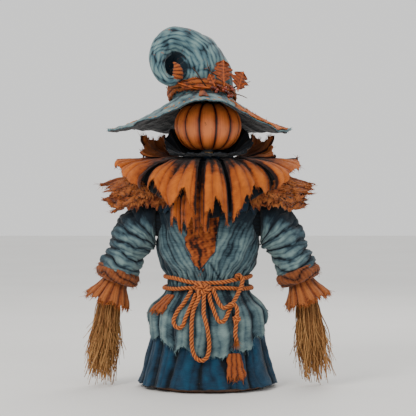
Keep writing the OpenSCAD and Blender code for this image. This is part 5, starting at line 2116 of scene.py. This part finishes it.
    def hand(self) -> None:
        """The bundle of straw that is the hand, and the cord that ties it."""
        rng = np.random.default_rng(190 + self.side.value)
        w, h = np.array(self.wrist, float), np.array(self.hand_end, float)
        way = (h - w) / np.linalg.norm(h - w)
        one = np.cross(np.array([0.0, 1, 0]), way)
        two = np.array([0.0, 1, 0])
        parts = []
        for layer, (count, inner, outer, splay, thick) in enumerate(
            ((200, 2, 11, 0.03, 2.9), (230, 10, 15, 0.07, 2.5), (120, 13, 16, 0.11, 1.9))
        ):
            a = rng.uniform(0, TAU, count)
            r = np.sqrt(rng.uniform(inner**2, outer**2, count))
            flat = one * np.cos(a)[:, None] + two * np.sin(a)[:, None]
            spots = w - way * rng.uniform(2, 10, count)[:, None] + flat * r[:, None]
            clump = 0.05 * np.sin(5 * a)[:, None] * flat
            aims = way + flat * (splay * rng.uniform(0.2, 1.3, count))[:, None] + clump + rng.normal(scale=0.022, size=(count, 3))
            long = rng.uniform(96, 146, count) if layer < 2 else rng.uniform(60, 128, count)
            sizes = np.stack([np.full(count, thick), np.full(count, thick), long], 1)
            parts.append(SCATTER.over(
                f"straw_{layer}", self.mirrored(spots), self.mirrored(aims), sizes,
                blade((1.6, -1.6, 2.4)[layer], 4, 11, 0.45, 0.7, (1.7, 2.1, 2.7)[layer]), STRAW.material(), spread=0.08, turn=math.pi, seed=200 + layer,
            ))
        bundle = joined(f"{self.side.word}_straw_bundle", parts)
        place(bundle, f"{self.side.word}_forearm", STRAW.material(), [f"{self.side.word}_straw_hand"])
        turns = []
        for k in range(3):
            b = np.arange(72) * TAU / 72
            centre = w + way * (5.2 + 2.7 * k)
            ring = centre + 17.2 * (one * np.cos(b)[:, None] + two * np.sin(b)[:, None]) + way * 0.5 * np.sin(b + k)[:, None]
            turns.append(RopeWork().twisted("turn", self.mirrored(ring), 1.6, closed=True))
        tie = joined(f"{self.side.word}_hand_binding", turns)
        place(tie, f"{self.side.word}_forearm", JUTE.material(), [f"{self.side.word}_hand_tie"])


# ---------------------------------------------------------------------------
# hard parts that keep their own shape
# ---------------------------------------------------------------------------


@dataclass
class InnerFrame:
    """The base, the post and the fittings, which keep the frame's shapes."""

    finishes: dict[str, Finish] = field(default_factory=lambda: {
        "base_disc": Timber("stained_base_wood"),
        "post": Timber("dowel_wood", dark="8A6238", mid="B58B58", light="CFA974", along=(14, 14, 1)),
        "crossbar": Timber("pine_bar", dark="8F6A3E", mid="BC9660", light="D6B37E"),
        "felt_pad": Woven("pad_felt", dark="0C0C0E", mid="1B1B1F", light="2C2C31", stain="101012", thread=0.8),
        "neck_bush": Plated("turned_nylon", colour="1B1C1F", metallic=0.0),
    })

    def build(self) -> None:
        """Gives every carried-over node its finish."""
        steel = Plated("zinc_plated_steel")
        for name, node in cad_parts.items():
            if node.hide_render:
                continue
            finish = self.finishes.get(name, steel)
            node.data.materials.clear()
            node.data.materials.append(finish.material())
            LOG.info("%s keeps its shape, finish %s", name, finish.name)


def main() -> None:
    """Builds the studio and every part of the figure."""
    logging.basicConfig(level=logging.INFO, format="%(name)s: %(message)s")
    Studio().build()
    RopeWork().build()
    for part in (Tunic(), Skirts(), Collar(), Shoulder(Side.LEFT), Shoulder(Side.RIGHT), Pumpkin(), Hat()):
        part.build()
        LOG.info("built %s", type(part).__name__)
    for side in Side:
        Arm(side).build()
        LOG.info("built the %s arm", side.word)
    InnerFrame().build()
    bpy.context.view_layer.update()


if __name__ == "__main__":
    main()
